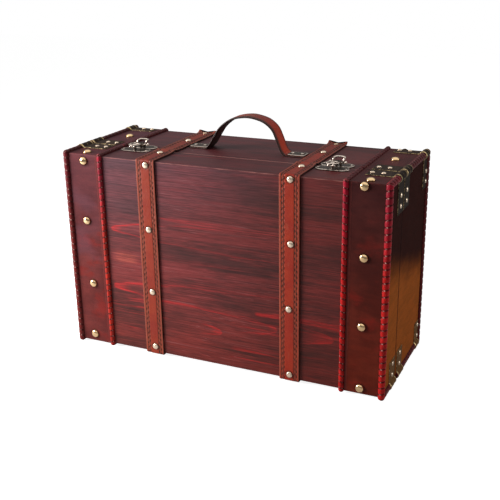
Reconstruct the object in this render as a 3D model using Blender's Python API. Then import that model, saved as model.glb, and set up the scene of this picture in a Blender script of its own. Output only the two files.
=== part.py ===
# A wooden suitcase box that stands on its long edge: a lid shell in front, a deeper base shell behind,
# hinged at the bottom of the seam and latched across the top of it. Leather covers both ends, laced
# cords edge the leather, and two nailed leather straps run over the top and down the front.
# Frame: X along the width, -Y to the front, +Z up. The origin is under the middle, where the case stands.
import math
from collections import namedtuple

import bmesh
import bpy
from mathutils import Matrix, Vector

# Wooden case, over its bare boards
CASE_WIDTH = 0.4376
CASE_HEIGHT = 0.2670
CASE_DEPTH = 0.1730
LID_DEPTH = 0.0562
SEAM_GAP = 0.0006
BOARD = 0.0070
PANEL = 0.0050
EDGE_BEVEL = 0.0004
LINING = 0.0008
LINING_SETBACK = 0.0010

# Clearances
FIT_GAP = 0.0003
RUN_GAP = 0.0003
OVERRUN = 0.0100
BURY = 0.0005

# Leather on the ends, and the cords along its edges. The band is a share of the case's width
LEATHER = 0.0009
BAND_WIDTH_SHARE = 0.1081
CORD_WIDTH = 0.0072
CORD_PROUD = 0.0040
OUTER_CORD_RADIUS = 0.0044
OUTER_CORD_PROUD = 0.0035
CORD_TOP_SETBACK = 0.0006
CORD_BOTTOM_SETBACK = 0.0036

# Leather straps, placed by a share of the case's width
STRAP_X_SHARE = 0.2251
STRAP_WIDTH = 0.0268
STRAP_THICKNESS = 0.0024
STRAP_CHAMFER = 0.0005
STRAP_SETBACK = 0.0015
STRAP_KICK = 0.0018
STRAP_KICK_LENGTH = 0.0150
STRAP_CURL = 0.0036
STRAP_CURL_LENGTH = 0.0080
STRAP_FLAT_SHARE = 0.55

# Domed nails
BAND_NAIL_RADIUS = 0.0055
STRAP_NAIL_RADIUS = 0.0041
NAIL_PROUD = 0.0048
NAIL_EDGE = 0.0068
NAIL_ROWS = 4
LID_TOP_NAIL = 0.0105
STRAP_LID_NAIL = 0.0375
STRAP_BACK_NAIL = 0.0100

# Corner brackets. The top leg is a share of the leather band
BRACKET_TOP_LEG_SHARE = 0.8456
BRACKET_SIDE_LEG = 0.0460
BRACKET_LOWER_SIDE_LEG = 0.0340
BRACKET_THICKNESS = 0.0007
BRACKET_WIDTH = 0.0240
REAR_BRACKET_WIDTH = 0.0175
REAR_NAIL_SETBACK = 0.0048
BRACKET_TOP_SETBACK = 0.0010
BRACKET_BOTTOM_SETBACK = 0.0047
BRACKET_NAIL_RADIUS = 0.0030
BRACKET_NAIL_HEIGHT = 0.0014
TOP_NAIL_SHARES = (0.46, 0.81)
SIDE_NAIL_SHARES = (0.51, 0.80)
LOWER_SIDE_NAIL_SHARES = (0.38, 0.84)

# Hinges under the bottom of the seam
HINGE_LENGTH = 0.0380
HINGE_LEAF = 0.0140
HINGE_THICKNESS = 0.0009
HINGE_AXIS_DROP = 0.0020
HINGE_BARREL_RADIUS = 0.0018
HINGE_PIN_RADIUS = 0.0008
HINGE_KNUCKLES = 5

# Latches across the top of the seam. Their plates are shares of the room between a strap and the cord
LATCH_SHIFT = 0.0003
LATCH_PLATE_SHIFT_SHARE = -0.071
LATCH_PLATE_WIDTH_SHARE = 0.829
LATCH_PLATE_DEPTH = 0.0172
LATCH_PLATE_THICKNESS = 0.0012
LATCH_SETBACK = 0.0010
LATCH_SCREW_RADIUS = 0.0018
LATCH_SCREW_HEIGHT = 0.0008
LATCH_SCREW_INSET = 0.0040
PIVOT_HEIGHT = 0.0072
PIVOT_RADIUS = 0.0012
PIN_HALF = 0.0098
PIN_BALL_RADIUS = 0.0018
EAR_THICKNESS = 0.0018
EAR_SPACING = 0.0052
EAR_RADIUS = 0.0025
EAR_FOOT_START = 0.0012
EAR_FOOT_END = 0.0054
HASP_THICKNESS = 0.0018
HASP_HUB_RADIUS = 0.0022
HASP_NECK_HALF = 0.0014
HASP_SLEEVE_RADIUS = 0.0016
HASP_RING_SHIFT = -0.0022
HASP_RING_RISE = 0.0019
HASP_RING_HALF = 0.0086
HASP_RING_DEPTH = 0.0070
HASP_RIM = 0.0022
HASP_REACH = 0.0137
HASP_KNOB_RADIUS = 0.0016
HASP_KNOB_X = 0.0029
HASP_LOOP_SHIFT = 0.0008
HASP_LOOP_SETBACK = 0.0018
HASP_LOOP_RISE = 0.0044
HASP_LOOP_HALF = 0.0082
HASP_LOOP_DEPTH = 0.0072
HASP_LOOP_RIM = 0.0020
HASP_LOOP_ANGLE = math.radians(8)
HASP_POST_HALF = 0.0010
STUD_RADIUS = 0.0021
STUD_HEAD_RADIUS = 0.0030
STUD_HEIGHT = 0.0083
STUD_HEAD_HEIGHT = 0.0014

# Half of a latch plate's edge, from the seam outwards: shares of the half width, and of the depth
LATCH_EDGE_SHARES = ((0.80, 0.00), (0.95, 0.26), (1.00, 0.56), (0.92, 0.78), (0.76, 0.92), (0.62, 1.00))

# Carrying handle. Its span is a share of the case's width, and its feet and plates of the room between
# the span and a strap
HANDLE_Y = 0.0103
HANDLE_HALF_SPAN_SHARE = 0.1280
HANDLE_RISE = 0.0469
HANDLE_THICKNESS = 0.0028
HANDLE_FOOT_THICKNESS = 0.0010
HANDLE_WIDTH = 0.0220
HANDLE_FOOT_LENGTH_SHARE = 0.893
HANDLE_PLATE_LENGTH_SHARE = 0.825
HANDLE_PLATE_WIDTH = 0.0180
HANDLE_PLATE_THICKNESS = 0.0010
HANDLE_SCREW_RADIUS = 0.0026
HANDLE_SCREW_HEIGHT = 0.0012
HANDLE_SCREW_SHARE = 0.28

# The handle's middle line, from where it leaves the top on the left to where it lands on the right:
# shares of the half span, and of the rise
HANDLE_CURVE_SHARES = (
    (-0.98, 0.025), (-0.91, 0.115), (-0.79, 0.35), (-0.65, 0.605), (-0.455, 0.81), (-0.24, 0.94),
    (0.07, 1.00), (0.325, 0.96), (0.525, 0.87), (0.695, 0.695), (0.795, 0.455), (0.88, 0.195),
    (0.945, 0.055),
)

# Resolution of round shapes
SAME_POINT = 0.0000001
SHARP_ANGLE = math.radians(35)
TURN_STEPS = 4
CORD_SIDES = 7
CORD_TURN = 12
DOME_SIDES = 10
DOME_RINGS = 2
SMALL_DOME_SIDES = 8
ROUND_SIDES = 20
PIN_SIDES = 14
CURVE_STEPS = 2

SKIN = FIT_GAP + LEATHER
WOOD_BOTTOM = SKIN + OUTER_CORD_PROUD + FIT_GAP + BRACKET_THICKNESS
WOOD_TOP = WOOD_BOTTOM + CASE_HEIGHT
HALF_WIDTH = CASE_WIDTH / 2
FRONT = -CASE_DEPTH / 2
BACK = CASE_DEPTH / 2
SEAM = FRONT + LID_DEPTH
LID_EDGE = SEAM - SEAM_GAP / 2
BASE_EDGE = SEAM + SEAM_GAP / 2
BAND_WIDTH = CASE_WIDTH * BAND_WIDTH_SHARE
BAND_INNER = HALF_WIDTH - BAND_WIDTH
INNER_CORD_X = BAND_INNER - FIT_GAP - CORD_WIDTH / 2
CORD_INSET = OUTER_CORD_RADIUS - OUTER_CORD_PROUD
OUTER_CORD_REACH = CORD_INSET + math.sqrt(OUTER_CORD_RADIUS**2 - (CORD_INSET + FIT_GAP) ** 2)
BAND_NAIL_X = (BAND_INNER + HALF_WIDTH + SKIN - OUTER_CORD_REACH) / 2
BASE_MIDDLE = (SEAM + BACK) / 2
BRACKET_TOP_LEG = BAND_WIDTH * BRACKET_TOP_LEG_SHARE
STRAP_X = CASE_WIDTH * STRAP_X_SHARE
STRAP_OUTER = STRAP_X + STRAP_WIDTH / 2
LATCH_ROOM = INNER_CORD_X - CORD_WIDTH / 2 - STRAP_OUTER
LATCH_X = STRAP_OUTER + LATCH_ROOM / 2
LATCH_PLATE_WIDTH = LATCH_ROOM * LATCH_PLATE_WIDTH_SHARE
LATCH_PLATE_SHIFT = LATCH_ROOM * LATCH_PLATE_SHIFT_SHARE
HANDLE_HALF_SPAN = CASE_WIDTH * HANDLE_HALF_SPAN_SHARE
HANDLE_ROOM = STRAP_X - STRAP_WIDTH / 2 - HANDLE_HALF_SPAN
HANDLE_FOOT_LENGTH = HANDLE_ROOM * HANDLE_FOOT_LENGTH_SHARE
HANDLE_PLATE_LENGTH = HANDLE_ROOM * HANDLE_PLATE_LENGTH_SHARE
HINGE_AXIS_Z = WOOD_BOTTOM - HINGE_AXIS_DROP
PIVOT_Y = SEAM
PIVOT_Z = WOOD_TOP + PIVOT_HEIGHT
STRAP_TOP = FIT_GAP + STRAP_THICKNESS

SIDES = {"left": -1, "right": 1}
LEVELS = {"top": 1, "bottom": -1}

Station = namedtuple("Station", "y z outer inner lift curl", defaults=(0, 0))


def clear_scene():
    for obj in list(bpy.data.objects):
        bpy.data.objects.remove(obj)


def material(name, colour, roughness, metallic=0):
    made = bpy.data.materials.get(name)
    if made:
        return made
    made = bpy.data.materials.new(name)
    made.use_nodes = True
    shader = made.node_tree.nodes["Principled BSDF"]
    shader.inputs["Base Color"].default_value = (*colour, 1)
    shader.inputs["Roughness"].default_value = roughness
    shader.inputs["Metallic"].default_value = metallic
    return made


def wood():
    return material("cherry_wood", (0.16, 0.02, 0.015), 0.35)


def maroon_leather():
    return material("maroon_leather", (0.10, 0.018, 0.022), 0.4)


def cord_leather():
    return material("laced_cord", (0.36, 0.02, 0.025), 0.45)


def tan_leather():
    return material("tan_leather", (0.36, 0.09, 0.03), 0.5)


def lining_cloth():
    return material("lining_cloth", (0.05, 0.012, 0.012), 0.9)


def bracket_bronze():
    return material("bracket_bronze", (0.12, 0.09, 0.05), 0.4, 1)


def pewter():
    return material("pewter", (0.42, 0.38, 0.33), 0.35, 1)


def hinge_steel():
    return material("hinge_steel", (0.30, 0.27, 0.22), 0.4, 1)


def new_object(name, mesh, finish, smooth=True):
    made = bpy.data.objects.new(name, mesh)
    bpy.context.scene.collection.objects.link(made)
    if finish:
        mesh.materials.append(finish)
    if smooth:
        mesh.shade_smooth()
        mesh.set_sharp_from_angle(angle=SHARP_ANGLE)
    return made


def finished_mesh(name, shape):
    bmesh.ops.remove_doubles(shape, verts=shape.verts, dist=SAME_POINT)
    bmesh.ops.recalc_face_normals(shape, faces=shape.faces)
    mesh = bpy.data.meshes.new(name)
    shape.to_mesh(mesh)
    shape.free()
    return mesh


def add_rings(shape, rings):
    """Skins closed rings of points, all with as many points, and caps both ends."""
    made = [[shape.verts.new(point) for point in ring] for ring in rings]
    count = len(made[0])
    for first, second in zip(made, made[1:]):
        for i in range(count):
            j = (i + 1) % count
            shape.faces.new((first[i], first[j], second[j], second[i]))
    shape.faces.new(made[0])
    shape.faces.new(made[-1])


def rings_object(name, rings, finish, smooth=True):
    shape = bmesh.new()
    add_rings(shape, rings)
    return new_object(name, finished_mesh(name, shape), finish, smooth)


def box(name, low, high, finish, bevel=0):
    ring = [(low[0], low[1]), (high[0], low[1]), (high[0], high[1]), (low[0], high[1])]
    made = rings_object(name, [[(x, y, z) for x, y in ring] for z in (low[2], high[2])], finish, False)
    if bevel:
        edge = made.modifiers.new("eased edges", "BEVEL")
        edge.width = bevel
        edge.segments = 1
    return made


def prism(name, outline, low, high, finish, axis="z"):
    """Extrudes an outline between two heights. Along x the outline is (y, z), along z it is (x, y)."""
    if axis == "x":
        rings = [[(at, a, b) for a, b in outline] for at in (low, high)]
    elif axis == "y":
        rings = [[(a, at, b) for a, b in outline] for at in (low, high)]
    else:
        rings = [[(a, b, at) for a, b in outline] for at in (low, high)]
    return rings_object(name, rings, finish)


def oval(centre, half_width, half_depth, sides):
    steps = [2 * math.pi * (i + 0.5) / sides for i in range(sides)]
    return [(centre[0] + half_width * math.cos(a), centre[1] + half_depth * math.sin(a)) for a in steps]


def circle(centre, radius, sides):
    return oval(centre, radius, radius, sides)


def combine(obj, other, operation):
    other.hide_render = True
    other.display_type = "WIRE"
    step = obj.modifiers.new(operation.lower(), "BOOLEAN")
    step.operation = operation
    step.object = other
    return obj


def cut(obj, other):
    return combine(obj, other, "DIFFERENCE")


def join(obj, other):
    return combine(obj, other, "UNION")


def add_dome(shape, centre, normal, radius, height, sides, rings=DOME_RINGS):
    """A nail head: a flattened dome whose foot is sunk into the piece that it fastens."""
    centre = Vector(centre)
    normal = Vector(normal)
    across = normal.orthogonal().normalized()
    along = normal.cross(across)
    levels = [(radius, -BURY)]
    levels += [(radius * math.cos(t), height * math.sin(t)) for t in
               (math.pi / 2 * k / (rings + 1) for k in range(rings + 1))]
    made = []
    for ring_radius, rise in levels:
        ring = []
        for i in range(sides):
            angle = 2 * math.pi * i / sides
            offset = across * (ring_radius * math.cos(angle)) + along * (ring_radius * math.sin(angle))
            ring.append(shape.verts.new(centre + normal * rise + offset))
        made.append(ring)
    for first, second in zip(made, made[1:]):
        for i in range(sides):
            j = (i + 1) % sides
            shape.faces.new((first[i], first[j], second[j], second[i]))
    peak = shape.verts.new(centre + normal * height)
    for i in range(sides):
        shape.faces.new((made[-1][i], made[-1][(i + 1) % sides], peak))
    shape.faces.new(made[0])


def nail_to(obj, nails, radius, height, sides):
    """Joins nail heads, given as places and normals, to the piece that they fasten."""
    shape = bmesh.new()
    for centre, normal in nails:
        add_dome(shape, centre, normal, radius, height, sides)
    heads = new_object(obj.name + "_nail_heads", finished_mesh(obj.name + "_nail_heads", shape), None)
    return join(obj, heads)


def nail_heights():
    step = (CASE_HEIGHT - 2 * NAIL_EDGE) / (NAIL_ROWS - 1)
    return [WOOD_BOTTOM + NAIL_EDGE + step * row for row in range(NAIL_ROWS)]


def wrap_stations(face_y, out, raised, top_ends, bottom_ends):
    """Stations of a strip that runs over the top, down one face at face_y and under the bottom, each raised
    above the wood by the same amount. out is -1 for the front and +1 for the back. The ends are stations."""
    stations = list(top_ends)
    corners = ((WOOD_TOP + raised, 0, 1), (WOOD_BOTTOM - raised, 1, -1))
    for z, quarter, level in corners:
        for step in range(TURN_STEPS + 1):
            angle = math.pi / 2 * (quarter + step / TURN_STEPS)
            outer = (out * math.sin(angle), math.cos(angle))
            stations.append(Station(face_y + out * raised, z, outer, (out, level)))
    return stations + list(bottom_ends)


def top_station(y, raised, **more):
    return Station(y, WOOD_TOP + raised, (0, 1), (0, 1), **more)


def bottom_station(y, raised, **more):
    return Station(y, WOOD_BOTTOM - raised, (0, -1), (0, -1), **more)


def sweep(name, profile, stations, place_x, out_x, finish):
    """Skins a profile of (across, above) points along stations. Points below the surface turn a corner
    at one mitred place, so that the strip doesn't fold through itself."""
    half = max(abs(across) for across, _ in profile)
    rings = []
    for station in stations:
        ring = []
        for across, above in profile:
            height = above + station.lift
            if station.curl and abs(across) > STRAP_FLAT_SHARE * half:
                height += station.curl
            way = station.outer if height >= 0 else station.inner
            ring.append((place_x + out_x * across, station.y + height * way[0], station.z + height * way[1]))
        rings.append(ring)
    return rings_object(name, rings, finish)


def make_boards():
    inner_low = WOOD_BOTTOM + BOARD + FIT_GAP
    inner_high = WOOD_TOP - BOARD - FIT_GAP
    shells = {
        "lid": ("lid_front_panel", FRONT, FRONT + PANEL, FRONT + PANEL + FIT_GAP, LID_EDGE),
        "base": ("base_back_panel", BACK - PANEL, BACK, BASE_EDGE, BACK - PANEL - FIT_GAP),
    }
    for shell, (panel, panel_low, panel_high, low, high) in shells.items():
        box(panel, (-HALF_WIDTH, panel_low, WOOD_BOTTOM), (HALF_WIDTH, panel_high, WOOD_TOP), wood(),
            EDGE_BEVEL)
        box(shell + "_top_board", (-HALF_WIDTH, low, WOOD_TOP - BOARD), (HALF_WIDTH, high, WOOD_TOP),
            wood(), EDGE_BEVEL)
        box(shell + "_bottom_board", (-HALF_WIDTH, low, WOOD_BOTTOM), (HALF_WIDTH, high, WOOD_BOTTOM + BOARD),
            wood(), EDGE_BEVEL)
        for side, sign in SIDES.items():
            ends = sorted((sign * HALF_WIDTH, sign * (HALF_WIDTH - BOARD)))
            box(f"{shell}_{side}_board", (ends[0], low, inner_low), (ends[1], high, inner_high),
                wood(), EDGE_BEVEL)


def make_linings():
    """Thin trays that line the two shells, open towards the seam."""
    inset = BOARD + FIT_GAP
    low = Vector((-HALF_WIDTH + inset, FRONT + PANEL + FIT_GAP, WOOD_BOTTOM + BOARD + FIT_GAP * 2))
    high = Vector((HALF_WIDTH - inset, BACK - PANEL - FIT_GAP, WOOD_TOP - BOARD - FIT_GAP * 2))
    spans = {"lid": (low.y, LID_EDGE - LINING_SETBACK, 1), "base": (BASE_EDGE + LINING_SETBACK, high.y, -1)}
    for shell, (start, end, open_way) in spans.items():
        tray = box(shell + "_lining", (low.x, start, low.z), (high.x, end, high.z), lining_cloth())
        hollow_start = start + LINING if open_way > 0 else start - OVERRUN
        hollow_end = end + OVERRUN if open_way > 0 else end - LINING
        cut(tray, box(shell + "_lining_hollow", (low.x + LINING, hollow_start, low.z + LINING),
                      (high.x - LINING, hollow_end, high.z - LINING), None))


def make_leather_ends():
    """The leather over each end of each shell: a five-sided cover, with its nail heads."""
    for side, sign in SIDES.items():
        for shell, face_y, out, edge in (("lid", FRONT, -1, LID_EDGE), ("base", BACK, 1, BASE_EDGE)):
            outer_x = sorted((sign * BAND_INNER, sign * (HALF_WIDTH + SKIN)))
            outer_y = sorted((edge, face_y + out * SKIN))
            cover = box(f"{shell}_{side}_leather", (outer_x[0], outer_y[0], WOOD_BOTTOM - SKIN),
                        (outer_x[1], outer_y[1], WOOD_TOP + SKIN), maroon_leather())
            inner_x = sorted((sign * (BAND_INNER - OVERRUN), sign * (HALF_WIDTH + FIT_GAP)))
            inner_y = sorted((edge - out * OVERRUN, face_y + out * FIT_GAP))
            cut(cover, box(cover.name + "_hollow", (inner_x[0], inner_y[0], WOOD_BOTTOM - FIT_GAP),
                           (inner_x[1], inner_y[1], WOOD_TOP + FIT_GAP), None))
            nail_x = sign * BAND_NAIL_X
            nails = [((nail_x, face_y + out * SKIN, z), (0, out, 0)) for z in nail_heights()]
            top_y = FRONT + LID_TOP_NAIL if shell == "lid" else BASE_MIDDLE
            nails.append(((nail_x, top_y, WOOD_TOP + SKIN), (0, 0, 1)))
            nail_to(cover, nails, BAND_NAIL_RADIUS, NAIL_PROUD - SKIN, DOME_SIDES)


def inner_cord_profile():
    """A half-round bead whose middle facet is flat."""
    radius = CORD_WIDTH / 2
    foot = FIT_GAP
    facet_rise = math.cos(math.pi / (2 * CORD_SIDES))
    points = []
    for i in range(CORD_SIDES + 1):
        angle = math.pi * i / CORD_SIDES
        points.append((radius * math.cos(angle), foot + (CORD_PROUD - foot) * math.sin(angle) / facet_rise))
    return points


def outer_cord_arc(radius, clear):
    """The part of a round, set into the box's edge, that stands clear of both faces by the given amount. Its
    facets touch the round, and one of them faces straight out from each face."""
    reach = radius / math.cos(math.pi / CORD_TURN)
    step = 2 * math.pi / CORD_TURN
    end = math.acos((CORD_INSET + clear) / reach)
    angles = [math.pi / 2 + end]
    angles += [step * (i + 0.5) for i in range(CORD_TURN // 2, -CORD_TURN // 2, -1)
               if -end < step * (i + 0.5) < math.pi / 2 + end]
    angles.append(-end)
    return [(reach * math.cos(a) - CORD_INSET, reach * math.sin(a) - CORD_INSET) for a in angles]


def make_cords():
    arc = outer_cord_arc(OUTER_CORD_RADIUS, FIT_GAP)
    outer_profile = [(FIT_GAP, FIT_GAP)] + arc
    for side, sign in SIDES.items():
        for shell, face_y, out, edge in (("lid", FRONT, -1, LID_EDGE), ("base", BACK, 1, BASE_EDGE)):
            top_y = edge + out * CORD_TOP_SETBACK
            bottom_y = edge + out * CORD_BOTTOM_SETBACK
            inner = wrap_stations(face_y, out, 0, [top_station(top_y, 0)], [bottom_station(bottom_y, 0)])
            sweep(f"{shell}_{side}_inner_cord", inner_cord_profile(), inner, sign * INNER_CORD_X, sign,
                  cord_leather())
            outer = wrap_stations(face_y, out, SKIN, [top_station(top_y, SKIN)],
                                  [bottom_station(bottom_y, SKIN)])
            sweep(f"{shell}_{side}_outer_cord", outer_profile, outer, sign * (HALF_WIDTH + SKIN), sign,
                  cord_leather())


def strap_profile():
    half = STRAP_WIDTH / 2
    flat = STRAP_FLAT_SHARE * half
    low = FIT_GAP
    high = STRAP_TOP
    ease = STRAP_CHAMFER
    return [(-half, low), (-flat, low), (flat, low), (half, low), (half, high - ease), (half - ease, high),
            (flat, high), (-flat, high), (ease - half, high), (-half, high - ease)]


def make_straps():
    for side, sign in SIDES.items():
        place = sign * STRAP_X
        end_y = LID_EDGE - STRAP_SETBACK
        kicked = [
            top_station(end_y, 0, lift=STRAP_KICK),
            top_station(end_y - STRAP_KICK_LENGTH / 2, 0, lift=STRAP_KICK / 4),
            top_station(end_y - STRAP_KICK_LENGTH, 0),
        ]
        lid = sweep(f"lid_{side}_strap", strap_profile(),
                    wrap_stations(FRONT, -1, 0, kicked, [bottom_station(end_y, 0)]),
                    place, 1, tan_leather())
        nails = [((place, FRONT - STRAP_TOP, z), (0, -1, 0)) for z in nail_heights()]
        nails.append(((place, FRONT + STRAP_LID_NAIL, WOOD_TOP + STRAP_TOP), (0, 0, 1)))
        nail_to(lid, nails, STRAP_NAIL_RADIUS, NAIL_PROUD - STRAP_TOP, DOME_SIDES)

        start_y = BASE_EDGE + STRAP_SETBACK
        run = [
            top_station(start_y, 0, lift=STRAP_KICK / 4),
            top_station(start_y + STRAP_KICK_LENGTH / 2, 0),
            top_station(BACK - STRAP_CURL_LENGTH, 0),
            top_station(BACK - STRAP_CURL_LENGTH / 2, 0, curl=STRAP_CURL / 4),
            top_station(BACK, 0, curl=STRAP_CURL),
        ]
        base = sweep(f"base_{side}_strap", strap_profile(), run, place, 1, tan_leather())
        places = (BASE_MIDDLE, BACK - STRAP_BACK_NAIL)
        nail_to(base, [((place, y, WOOD_TOP + STRAP_TOP), (0, 0, 1)) for y in places],
                STRAP_NAIL_RADIUS, NAIL_PROUD - STRAP_TOP, DOME_SIDES)


def bracket_outline(side_leg):
    """An angle plate seen along the box's edge, from the edge of the leather: one leg on the top, one on the
    end, and a bulge between them that goes over the outer cord."""
    under = FIT_GAP
    over = FIT_GAP + BRACKET_THICKNESS
    inside = outer_cord_arc(OUTER_CORD_RADIUS + FIT_GAP, under)
    outside = outer_cord_arc(OUTER_CORD_RADIUS + FIT_GAP + BRACKET_THICKNESS, over)
    return ([(-BRACKET_TOP_LEG, over)] + outside + [(over, -side_leg), (under, -side_leg)]
            + inside[::-1] + [(-BRACKET_TOP_LEG, under)])


def make_bracket(name, side_sign, level_sign, low_y, high_y, nail_y):
    corner_x = HALF_WIDTH + SKIN
    corner_z = WOOD_TOP + SKIN if level_sign > 0 else WOOD_BOTTOM - SKIN
    side_leg = BRACKET_SIDE_LEG if level_sign > 0 else BRACKET_LOWER_SIDE_LEG
    side_shares = SIDE_NAIL_SHARES if level_sign > 0 else LOWER_SIDE_NAIL_SHARES
    outline = [(side_sign * (corner_x + u), corner_z + level_sign * v) for u, v in bracket_outline(side_leg)]
    plate = prism(name, outline, low_y, high_y, bracket_bronze(), axis="y")
    face = FIT_GAP + BRACKET_THICKNESS
    nails = []
    for share in TOP_NAIL_SHARES:
        x = side_sign * (corner_x - BRACKET_TOP_LEG * share)
        nails.append(((x, nail_y, corner_z + level_sign * face), (0, 0, level_sign)))
    for share in side_shares:
        z = corner_z - level_sign * side_leg * share
        nails.append(((side_sign * (corner_x + face), nail_y, z), (side_sign, 0, 0)))
    nail_to(plate, nails, BRACKET_NAIL_RADIUS, BRACKET_NAIL_HEIGHT, SMALL_DOME_SIDES)


def make_brackets():
    """Three pairs on each long edge: either side of the seam, and at the back. The back ones stop short of
    the cord that runs down the rear edge."""
    rear_end = BACK + SKIN - OUTER_CORD_REACH - FIT_GAP
    middle = BRACKET_WIDTH / 2
    for side, side_sign in SIDES.items():
        for level, level_sign in LEVELS.items():
            setback = BRACKET_TOP_SETBACK if level_sign > 0 else BRACKET_BOTTOM_SETBACK
            lid_end = LID_EDGE - setback
            base_start = BASE_EDGE + setback
            spans = {
                "lid": (lid_end - BRACKET_WIDTH, lid_end, lid_end - middle),
                "base": (base_start, base_start + BRACKET_WIDTH, base_start + middle),
                "rear": (rear_end - REAR_BRACKET_WIDTH, rear_end, rear_end - REAR_NAIL_SETBACK),
            }
            for place, (low_y, high_y, nail_y) in spans.items():
                make_bracket(f"{place}_{level}_{side}_bracket", side_sign, level_sign, low_y, high_y, nail_y)


def knuckle_spans(centre_x, first):
    """Every second knuckle of a hinge, with running clearance at both ends."""
    pitch = HINGE_LENGTH / HINGE_KNUCKLES
    start = centre_x - HINGE_LENGTH / 2
    return [(start + pitch * i + RUN_GAP / 2, start + pitch * (i + 1) - RUN_GAP / 2)
            for i in range(first, HINGE_KNUCKLES, 2)]


def make_hinge_leaf(name, centre_x, out, first):
    """A leaf screwed under a bottom board, with the knuckles that it carries rolled round the pin."""
    high = WOOD_BOTTOM - FIT_GAP
    low = high - HINGE_THICKNESS
    near = HINGE_BARREL_RADIUS + RUN_GAP
    ys = sorted((SEAM + out * near, SEAM + out * (near + HINGE_LEAF)))
    leaf = box(name, (centre_x - HINGE_LENGTH / 2, ys[0], low), (centre_x + HINGE_LENGTH / 2, ys[1], high),
               hinge_steel())
    axis = (SEAM, HINGE_AXIS_Z)
    for index, (start, end) in enumerate(knuckle_spans(centre_x, first)):
        tab_y = sorted((SEAM, SEAM + out * (near + BURY)))
        join(leaf, box(f"{name}_tab_{index}", (start, tab_y[0], low), (end, tab_y[1], high), None))
        join(leaf, prism(f"{name}_knuckle_{index}", circle(axis, HINGE_BARREL_RADIUS, PIN_SIDES), start, end,
                         None, axis="x"))
    bore = prism(name + "_bore", circle(axis, HINGE_PIN_RADIUS + RUN_GAP, PIN_SIDES),
                 centre_x - HINGE_LENGTH / 2 - OVERRUN, centre_x + HINGE_LENGTH / 2 + OVERRUN, None, axis="x")
    cut(leaf, bore)


def make_hinges():
    for side, sign in SIDES.items():
        centre_x = sign * LATCH_X
        make_hinge_leaf(f"base_{side}_hinge_leaf", centre_x, 1, 0)
        make_hinge_leaf(f"lid_{side}_hinge_leaf", centre_x, -1, 1)
        prism(f"{side}_hinge_pin", circle((SEAM, HINGE_AXIS_Z), HINGE_PIN_RADIUS, PIN_SIDES),
              centre_x - HINGE_LENGTH / 2, centre_x + HINGE_LENGTH / 2, hinge_steel(), axis="x")


def latch_plate(name, centre_x, edge_y, out):
    """A flat plate with two wings, its long straight edge along the seam. It sits a little to one side of the
    mechanism that it carries."""
    half = LATCH_PLATE_WIDTH / 2
    right = [(half * a, LATCH_PLATE_DEPTH * b) for a, b in LATCH_EDGE_SHARES]
    outline = [(x, b) for x, b in right] + [(-x, b) for x, b in right[::-1]]
    middle = centre_x + LATCH_PLATE_SHIFT
    low = WOOD_TOP + FIT_GAP
    placed = [(middle + x, edge_y + out * b) for x, b in outline]
    plate = prism(name, placed, low, low + LATCH_PLATE_THICKNESS, pewter())
    tip_x, tip_y = max(right)
    screws = [((middle + way * (tip_x - LATCH_SCREW_INSET), edge_y + out * tip_y,
                low + LATCH_PLATE_THICKNESS), (0, 0, 1)) for way in SIDES.values()]
    return nail_to(plate, screws, LATCH_SCREW_RADIUS, LATCH_SCREW_HEIGHT, SMALL_DOME_SIDES)


def make_catch(side, centre_x):
    """The lid's plate, with the headed stud that the hasp's ring drops over."""
    plate = latch_plate(f"{side}_latch_catch", centre_x, LID_EDGE - LATCH_SETBACK, -1)
    top = WOOD_TOP + FIT_GAP + LATCH_PLATE_THICKNESS
    centre = (centre_x + HASP_RING_SHIFT, PIVOT_Y - HASP_REACH)
    join(plate, prism(plate.name + "_stud", circle(centre, STUD_RADIUS, PIN_SIDES), top - BURY,
                      top + STUD_HEIGHT - STUD_HEAD_HEIGHT / 2, None))
    join(plate, prism(plate.name + "_stud_head", circle(centre, STUD_HEAD_RADIUS, PIN_SIDES),
                      top + STUD_HEIGHT - STUD_HEAD_HEIGHT, top + STUD_HEIGHT, None))


def make_latch_base(side, centre_x):
    """The base's plate, with two bored ears that stand at the seam and hold the hasp's pin."""
    plate = latch_plate(f"{side}_latch_plate", centre_x, BASE_EDGE + LATCH_SETBACK, 1)
    low = WOOD_TOP + FIT_GAP + LATCH_PLATE_THICKNESS - BURY
    axis = (PIVOT_Y, PIVOT_Z)
    eye = circle(axis, EAR_RADIUS, PIN_SIDES)
    stem = [(SEAM + EAR_FOOT_START, low), (SEAM + EAR_FOOT_END, low), eye[1], axis, eye[PIN_SIDES // 2 + 1]]
    for way in SIDES.values():
        ear_x = centre_x + way * EAR_SPACING / 2
        span = (ear_x - EAR_THICKNESS / 2, ear_x + EAR_THICKNESS / 2)
        join(plate, prism(f"{plate.name}_ear_{way}", stem, span[0], span[1], None, axis="x"))
        join(plate, prism(f"{plate.name}_eye_{way}", eye, span[0], span[1], None, axis="x"))
    bore_half = EAR_SPACING + EAR_THICKNESS
    cut(plate, prism(plate.name + "_bore", circle(axis, PIVOT_RADIUS + RUN_GAP, PIN_SIDES),
                     centre_x - bore_half, centre_x + bore_half, None, axis="x"))


def balls(name, centres, radius):
    shape = bmesh.new()
    for centre in centres:
        bmesh.ops.create_uvsphere(shape, u_segments=SMALL_DOME_SIDES, v_segments=SMALL_DOME_SIDES - 2,
                                  radius=radius, matrix=Matrix.Translation(centre))
    return new_object(name, finished_mesh(name, shape), None)


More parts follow.
